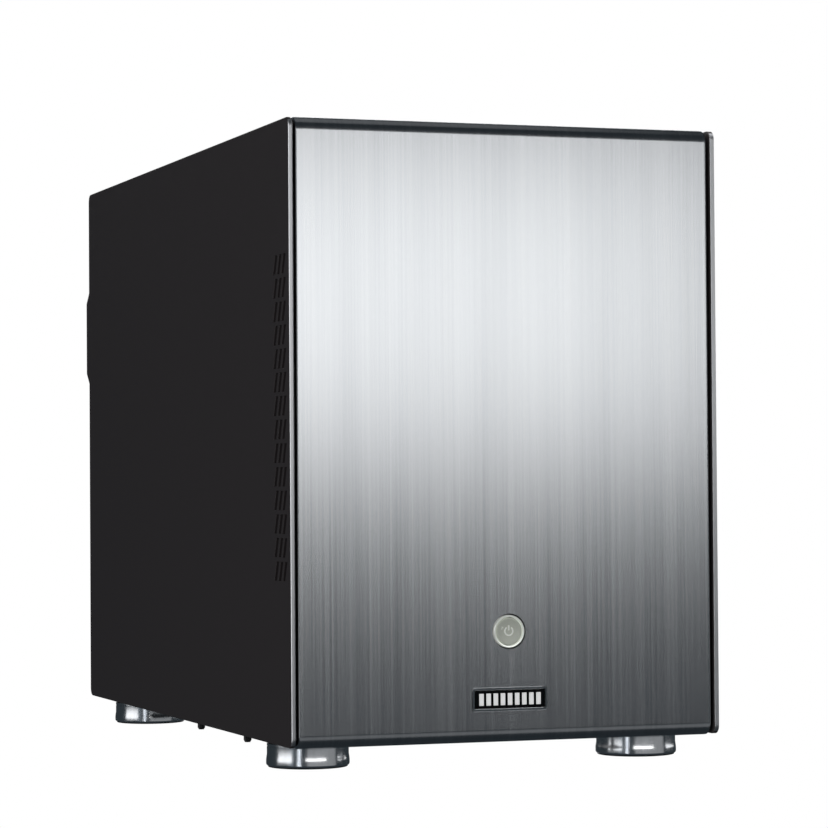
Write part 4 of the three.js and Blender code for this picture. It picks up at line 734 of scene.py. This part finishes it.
def make_fan_frame(name, place, size, depth):
    half, bore = size / 2, size / 2 - 3
    hub, screw = size * 0.17, size / 2 * 0.875
    whole = bmesh.new()
    for low, high in ((0, FAN_FLANGE), (depth - FAN_FLANGE, depth)):
        hole = cutting_rod(bore, low, high, (0, 0), 96)
        plate = cut_out(upright_slab(half, FAN_CORNER, low, high), hole)
        for u in (-screw, screw):
            for v in (-screw, screw):
                plate = cut_out(plate, cutting_rod(FAN_SCREW_HOLE, low, high, (u, v), 20))
        round_edges(plate, 0.25, 1, sharp_edges(plate, 60))
        absorb(whole, plate)
    back = bore + FAN_WALL
    wall = [(bore, 0.4), (bore + 0.4, 0.02), (back, 0.02), (back, depth - 0.02),
            (bore + 0.4, depth - 0.02), (bore, depth - 0.4), (bore, 0.4)]
    absorb(whole, spun(wall, (0, 0, 0), (0, 0, 1), 96))
    seat = [(0, 0), (hub - 0.6, 0), (hub, 0.6), (hub, 2.6), (hub - 0.4, 3), (0, 3)]
    absorb(whole, spun(seat, (0, 0, 0), (0, 0, 1), 64))
    for i in range(4):
        strut = box_shape(((hub - 1) * MM, -1.6 * MM, 0.1 * MM), ((bore + 1) * MM, 1.6 * MM, 2.6 * MM))
        round_edges(strut, 0.5, 2)
        bmesh.ops.rotate(strut, verts=strut.verts, cent=(0, 0, 0),
                         matrix=Matrix.Rotation(math.tau * i / 4 + 0.35, 3, "Z"))
        absorb(whole, strut)
    bmesh.ops.transform(whole, matrix=place, verts=whole.verts)
    node = name + "_frame"
    piece(node + "_moulded", whole, "plastic", body_of(node), [node])


def make_fan_rotor(name, place, size, depth):
    tip, hub = size / 2 - 4.4, size * 0.16
    low, high = 3.7, depth - 1.1
    whole = bmesh.new()
    crown = [(0, low), (hub, low), (hub, high - 1.6), *arc(hub - 1.6, high - 1.6, 1.6, 0, 90, 6),
             (hub * 0.72, high), (hub * 0.7, high - 0.3), (0, high - 0.3)]
    absorb(whole, spun(crown, (0, 0, 0), (0, 0, 1), 72))
    for i in range(BLADES):
        absorb(whole, fan_blade(hub - 0.8, tip, low + 0.4, high - 0.8, math.tau * i / BLADES))
    bmesh.ops.transform(whole, matrix=place, verts=whole.verts)
    node = name + "_rotor"
    piece(node + "_moulded", whole, "plastic", body_of(node), [node])


def fan_blade(root, tip, low, high, start):
    """One swept and twisted blade between two radii and two heights, all in mm."""
    spans, chords = 9, 7
    shape = bmesh.new()
    bmesh.ops.create_grid(shape, x_segments=spans, y_segments=chords, size=1)
    for corner in shape.verts:
        along, across = (corner.co.x + 1) / 2, (corner.co.y + 1) / 2
        radius = root + (tip - root) * along
        sweep = start + 0.5 * along ** 1.5
        wrap = 0.62 - 0.06 * along
        drop = (high - low) * 0.16 * along
        angle = sweep + wrap * (across - 0.5)
        camber = 1.6 * math.sin(math.pi * across) * (1 - along * 0.4)
        height = min(low + (high - low - drop) * (1 - across) + camber, high)
        corner.co = Vector((radius * math.cos(angle), radius * math.sin(angle), height)) * MM
    bmesh.ops.recalc_face_normals(shape, faces=shape.faces)
    bmesh.ops.solidify(shape, geom=shape.faces, thickness=BLADE_THICK * MM)
    bmesh.ops.recalc_face_normals(shape, faces=shape.faces)
    return shape


def make_fans():
    for name, axis in (("front_fan", (0, -1, 0)), ("top_fan", (0, 0, 1)), ("cooler_fan", (0, 0, 1)),
                       ("psu_fan", (0, 0, -1))):
        place, size, depth = fan_place(name, axis)
        make_fan_frame(name, place, size, depth)
        make_fan_rotor(name, place, size, depth)


# ---- Inside and rear ----

def corners_of(node):
    """A CAD node's box in mm."""
    low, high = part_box(node)
    return [v / MM for v in low], [v / MM for v in high]


def make_board():
    """The main board: green laminate, black sockets, a bare heat sink, capacitors and small chips."""
    low, high = corners_of("motherboard")
    shape = merged_copy("motherboard")
    for face in shape.faces:
        middle = face.calc_center_median() / MM
        if middle.z > low[2] + LAMINATE + 0.2:
            on_sink = low[0] + 13 < middle.x < low[0] + 41 and low[1] + 49 < middle.y < low[1] + 77
            face.material_index = 2 if on_sink else 1
    round_edges(shape, 0.15)
    piece("motherboard_laminate", shape, ("mask", "plastic", "mill"), body_of("motherboard"),
          ["motherboard"])
    top = low[2] + LAMINATE + 0.02
    cans = bmesh.new()
    can = [(0, 0), (2.9, 0), (3.1, 0.4), (3.1, 1.1), (2.9, 1.4), (3.1, 1.7), (3.1, CAN_TALL - 0.4),
           (2.8, CAN_TALL), (0, CAN_TALL)]
    row = [(low[0] + 30 + 11 * i, high[1] - 29) for i in range(12)]
    column = [(high[0] - 12, low[1] + 52 + 10 * i) for i in range(6)]
    for x, y in row + column:
        absorb(cans, spun(can, (x * MM, y * MM, top * MM), (0, 0, 1), 16))
    piece("motherboard_capacitors", cans, "mill", body_of("motherboard"))
    chips = bmesh.new()
    places = [(18, 100, 12, 12), (20, 124, 8, 8), (22, 30, 14, 14), (52, 40, 9, 5), (70, 40, 9, 5),
              (88, 40, 9, 5), (136, 48, 10, 10), (46, 146, 12, 9), (100, 148, 8, 5), (60, 92, 5, 5)]
    add_boxes(chips, [
        ((low[0] + x, low[1] + y, top), (low[0] + x + wide, low[1] + y + deep, top + CHIP_TALL))
        for x, y, wide, deep in places])
    round_edges(chips, 0.15, 1)
    piece("motherboard_chips", chips, "chip", body_of("motherboard"))


def make_memory(node):
    """A memory module: green laminate with black chips."""
    middle_y = corners_of(node)[1][1] - 0.65
    shape = merged_copy(node)
    for face in shape.faces:
        if face.calc_center_median().y / MM < middle_y - 0.75:
            face.material_index = 1
    round_edges(shape, 0.12, 1)
    piece(node + "_card", shape, ("mask", "chip"), body_of(node), [node])


def make_port_inserts():
    """What shows inside each rear socket: tongues, solid blocks, and rings round the audio jacks."""
    low, high = corners_of("rear_ports")
    left, floor_z, back = low[0] - 3, low[2], high[1] - 0.3
    body = body_of("rear_ports")
    wall, inner = PORT_WALL, back - PORT_MOUTH + 0.05
    tongues = {"blue": [(77, 15, 8), (77, 15, 20), (96, 17, 7)],
               "plastic": [(3, 14, 8), (3, 14, 20), (21, 15, 7)]}
    for colour, places in tongues.items():
        shape = bmesh.new()
        add_boxes(shape, [
            ((left + start + wall + 1.2, inner, floor_z + z),
             (left + start + wide - wall - 1.2, back - 1.2, floor_z + z + 2.2)) for start, wide, z in places])
        round_edges(shape, 0.2, 2)
        piece(f"port_tongues_{colour}", shape, colour, body)
    video = bmesh.new()
    add_boxes(video, [((left + 40 + wall + 1.5, inner, floor_z + wall + 3),
                       (left + 72 - wall - 1.5, back - 2.5, floor_z + 22 - wall - 3)),
                      ((left + 96 + wall + 1, inner, floor_z + 14),
                       (left + 113 - wall - 1, back - 4.5, floor_z + 27))])
    round_edges(video, 0.3, 2)
    piece("port_video_block", video, "plastic", body)
    plates = bmesh.new()
    add_boxes(plates, [((left + start + wall + 0.05, inner, floor_z + wall + 0.05),
                        (left + start + AUDIO_WIDE - wall - 0.05, back - 3,
                         floor_z + AUDIO_TALL - wall - 0.05))
                       for start in AUDIO_STARTS])
    piece("port_audio_plates", plates, "plastic", body)
    ring = [(1.8, 0), (3.7, 0), (3.7, 1.6), (3.4, 1.9), (2.1, 1.9), (1.8, 1.6), (1.8, 0)]
    for i, colour in enumerate(("pink", "green", "sky")):
        rings = bmesh.new()
        for start in AUDIO_STARTS:
            centre = Vector((left + start + AUDIO_WIDE / 2, back - 3.02, floor_z + 7 + 10 * i)) * MM
            absorb(rings, spun(ring, centre, (0, 1, 0), 32))
        piece(f"port_audio_rings_{colour}", rings, colour, body)


def make_labels():
    """Plain labels with blank bars: one on the power supply's left side and one on top of each drive."""
    low, high = corners_of("psu_case")
    x = low[0] - 0.12
    label = bmesh.new()
    add_boxes(label, [((x, low[1] + 24, low[2] + 18), (low[0] - 0.01, low[1] + 112, low[2] + 70))])
    add_boxes(label, [
        ((x - 0.03, low[1] + 30, low[2] + 25 + 9 * i), (x, low[1] + 106 - 9 * (i % 2), low[2] + 29 + 9 * i))
        for i in range(5)], 1)
    piece("psu_label", label, ("label", "gloss"), body_of("psu_case"))
    for drive in ("drive_1", "drive_2"):
        low, high = corners_of(drive)
        top = high[2] + 0.01
        paper = top + 0.1
        label = bmesh.new()
        add_boxes(label, [((low[0] + 30, low[1] + 20, top), (high[0] - 18, high[1] - 16, paper))])
        add_boxes(label, [
            ((low[0] + 36, low[1] + 27 + 10 * i, paper), (high[0] - 40, low[1] + 31 + 10 * i, paper + 0.03))
            for i in range(5)], 1)
        piece(drive + "_label", label, ("label", "gloss"), body_of(drive))


# ---- Camera, light and floor ----

def make_camera():
    """The viewpoint: low, in front and to the left, through a long lens."""
    data = bpy.data.cameras.new("camera")
    data.sensor_width = 36.0
    data.lens = 132.9
    data.clip_start, data.clip_end = 0.01, 50
    camera = bpy.data.objects.new("camera", data)
    bpy.context.scene.collection.objects.link(camera)
    yaw, pitch, roll = (math.radians(angle) for angle in (19.306, 1.342, -0.393))
    forward = Vector((math.sin(yaw) * math.cos(pitch), math.cos(yaw) * math.cos(pitch), math.sin(pitch)))
    level = Vector((math.cos(yaw), -math.sin(yaw), 0))
    over = level.cross(forward)
    right = math.cos(roll) * level + math.sin(roll) * over
    up = -math.sin(roll) * level + math.cos(roll) * over
    turn = Matrix((right, up, -forward)).transposed().to_4x4()
    camera.matrix_world = Matrix.Translation((-0.4767, -1.4240, 0.1224)) @ turn
    bpy.context.scene.camera = camera


def area_light(name, place, target, width, height, radiance, colour="#ffffff", only=None):
    """A soft card of the given size in metres; `only` is a collection of the pieces that it lights."""
    data = bpy.data.lights.new(name, "AREA")
    data.shape = "RECTANGLE"
    data.size, data.size_y = width, height
    data.energy = radiance * width * height * math.pi
    light = bpy.data.objects.new(name, data)
    bpy.context.scene.collection.objects.link(light)
    light.location = place
    light.visible_camera = False
    data.color = linear(colour)[:3]
    if only:
        light.light_linking.receiver_collection = only
    aim = Vector(target) - Vector(place)
    light.rotation_mode = "QUATERNION"
    light.rotation_quaternion = aim.to_track_quat("-Z", "Y")


def make_studio():
    """Soft cards all round, a dim room, and a floor and background of plain white."""
    area_light("front card", (0.07, -1.29, 0.285), (0.07, -0.187, 0.285), 1.24, 0.30, 2.75, "#fffefc")
    area_light("overhead softbox", (0.0, 0.0, 1.7), (0.0, 0.0, 0.0), 1.3, 1.3, 0.18)
    area_light("left card", (-2.3, -0.3, 0.65), (0.0, 0.0, 0.15), 2.0, 1.5, 1.5)
    area_light("right card", (2.4, 0.1, 0.7), (0.0, 0.0, 0.15), 2.0, 1.4, 1.3)
    area_light("rear card", (0.85, 2.0, 0.95), (0.0, 0.2, 0.15), 2.4, 1.5, 1.9)
    light_feet()
    light_inside()
    light_outside()
    world = bpy.data.worlds.new("studio")
    bpy.context.scene.world = world
    world.use_nodes = True
    tree = world.node_tree
    tree.nodes.clear()
    seen = add(tree, "ShaderNodeLightPath")
    dim = add(tree, "ShaderNodeBackground", {"Color": (0.75, 0.95, 1.1, 1.0), "Strength": 0.045})
    white = add(tree, "ShaderNodeBackground", {"Color": (1.0, 1.0, 1.0, 1.0), "Strength": 1.0})
    mix = add(tree, "ShaderNodeMixShader", {}, {"Fac": seen.outputs["Is Camera Ray"]})
    tree.links.new(dim.outputs["Background"], mix.inputs[1])
    tree.links.new(white.outputs["Background"], mix.inputs[2])
    add(tree, "ShaderNodeOutputWorld", {}, {"Surface": mix.outputs["Shader"]})
    make_floor()


def light_outside():
    """Cards that light only the side panels, or only the brushed plate, from where other views need it."""
    panels = bpy.data.collections.new("panels")
    for side in ("left", "right"):
        panels.objects.link(bpy.data.objects[f"{side}_side_panel_sheet"])
    area_light("left panel card", (-2.0, -1.3, 0.2), (-0.1, 0.0, 0.15), 2.2, 2.2, 2.2, only=panels)
    plate = bpy.data.collections.new("plate")
    plate.objects.link(bpy.data.objects["front_cover_plate"])
    middle = (0.0, -0.19, 0.14)
    area_light("plate card, left", (-1.7, -1.2, 0.1), middle, 1.5, 1.6, 0.55, only=plate)
    area_light("plate card, low", (0.3, -1.6, -0.85), middle, 3.0, 0.8, 0.24, only=plate)
    area_light("plate card, right", (2.0, -0.9, -0.1), middle, 1.2, 1.6, 0.45, only=plate)


def light_feet():
    """Low cards round the feet; each gives one upright band on a foot's wall."""
    feet = bpy.data.collections.new("feet")
    for made in bpy.data.objects:
        if made.name.startswith("foot_") and "_turned" in made.name:
            feet.objects.link(made)
    reach = 1.2
    cards = [(-92, 24, 0.08, "#ffffff"), (-60, 14, 0.22, "#b9c6d2"),
             (-40, 6, 2.0, "#f4f9ff"), (20, 96, 0.28, "#ffffff"), (165, 14, 0.4, "#ffffff")]
    for i, (azimuth, spread, radiance, colour) in enumerate(cards):
        turn = math.radians(azimuth)
        place = (reach * math.sin(turn), -reach * math.cos(turn), -0.1)
        area_light(f"foot card {i + 1}", place, (0.0, 0.0, -0.1), reach * math.radians(spread), 0.8,
                   radiance, colour, feet)


def light_inside():
    """Cards on all sides for what the main view doesn't show: the rear, the top and everything inside."""
    shown = ("front_cover_plate", "badge_", "button_", "power_", "foot_", "left_side_panel", "floor")
    inside = bpy.data.collections.new("inside")
    for made in bpy.data.objects:
        if made.type == "MESH" and not made.name.startswith(shown):
            inside.objects.link(made)
    cards = [("rear", (0.0, 2.2, 0.3), 3.6, 2.6, 1.5), ("left", (-2.2, 0.2, 0.3), 3.4, 2.6, 1.3),
             ("right", (2.2, 0.2, 0.3), 3.4, 2.6, 1.3), ("top", (0.0, 0.0, 2.0), 3.0, 3.0, 1.2)]
    for name, place, width, height, radiance in cards:
        area_light(f"inside card, {name}", place, (0.0, 0.05, 0.15), width, height, radiance, only=inside)


def make_floor():
    """A plain white floor that the camera sees and the object's metal doesn't mirror."""
    shape = bmesh.new()
    bmesh.ops.create_grid(shape, x_segments=1, y_segments=1, size=12)
    mesh = bpy.data.meshes.new("floor")
    shape.to_mesh(mesh)
    shape.free()
    paper, _, shader = new_material("white studio paper", Roughness=1.0, Emission_Strength=1.0)
    shader.inputs["Base Color"].default_value = (0.0, 0.0, 0.0, 1.0)
    shader.inputs["Emission Color"].default_value = (1.0, 1.0, 1.0, 1.0)
    shader.inputs["Specular IOR Level"].default_value = 0.0
    mesh.materials.append(paper)
    floor = bpy.data.objects.new("floor", mesh)
    bpy.context.scene.collection.objects.link(floor)
    floor.visible_diffuse = False
    floor.visible_glossy = False
    floor.visible_transmission = False
    floor.visible_shadow = False


bpy.context.scene.view_settings.view_transform = "Standard"
make_camera()
make_front_cover()
make_badge()
make_power_button()
make_side_panel("left_side_panel")
make_side_panel("right_side_panel")
for end in ("front", "rear"):
    for side in ("left", "right"):
        make_foot(end, side)
make_fans()
make_board()
make_memory("memory_module_1")
make_memory("memory_module_2")
make_port_inserts()
make_labels()

FINISHES = {
    "brushed_cover": ("cover", 0.3),
    "black_sheet": ("side", PANEL_EDGE),
    "chassis_sheet": ("chassis", 0.2),
    "polished_metal": ("chrome", 0.2),
    "foot_metal": ("foot", 0.3),
    "black_rubber": ("rubber", 0.3),
    "black_plastic": ("plastic", 0.25),
    "black_gloss": ("gloss", 0.3),
    # Pale plastic parts take the ring material, with its painted glow.
    "pale_plastic": ("ring", 0.2),
    "psu_steel": ("powder", 0.3),
    "bright_wire": ("nickel", 0.25),
    "circuit_board": ("mask", 0.15),
    "zinc_sheet": ("zinc", 0.15),
    "cooler_aluminium": ("mill", 0.15),
    "drive_metal": ("cast", 0.5),
    "cable_sleeve": ("sleeve", 0.2),
}
replaced = {name for made in bpy.data.objects for name in made.get("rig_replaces", [])}
for part in frame["record"]["subparts"]:
    if part["node"] not in replaced:
        material, width = FINISHES[part["material_slot"]]
        finish_node(part["node"], material, width)
make_studio()
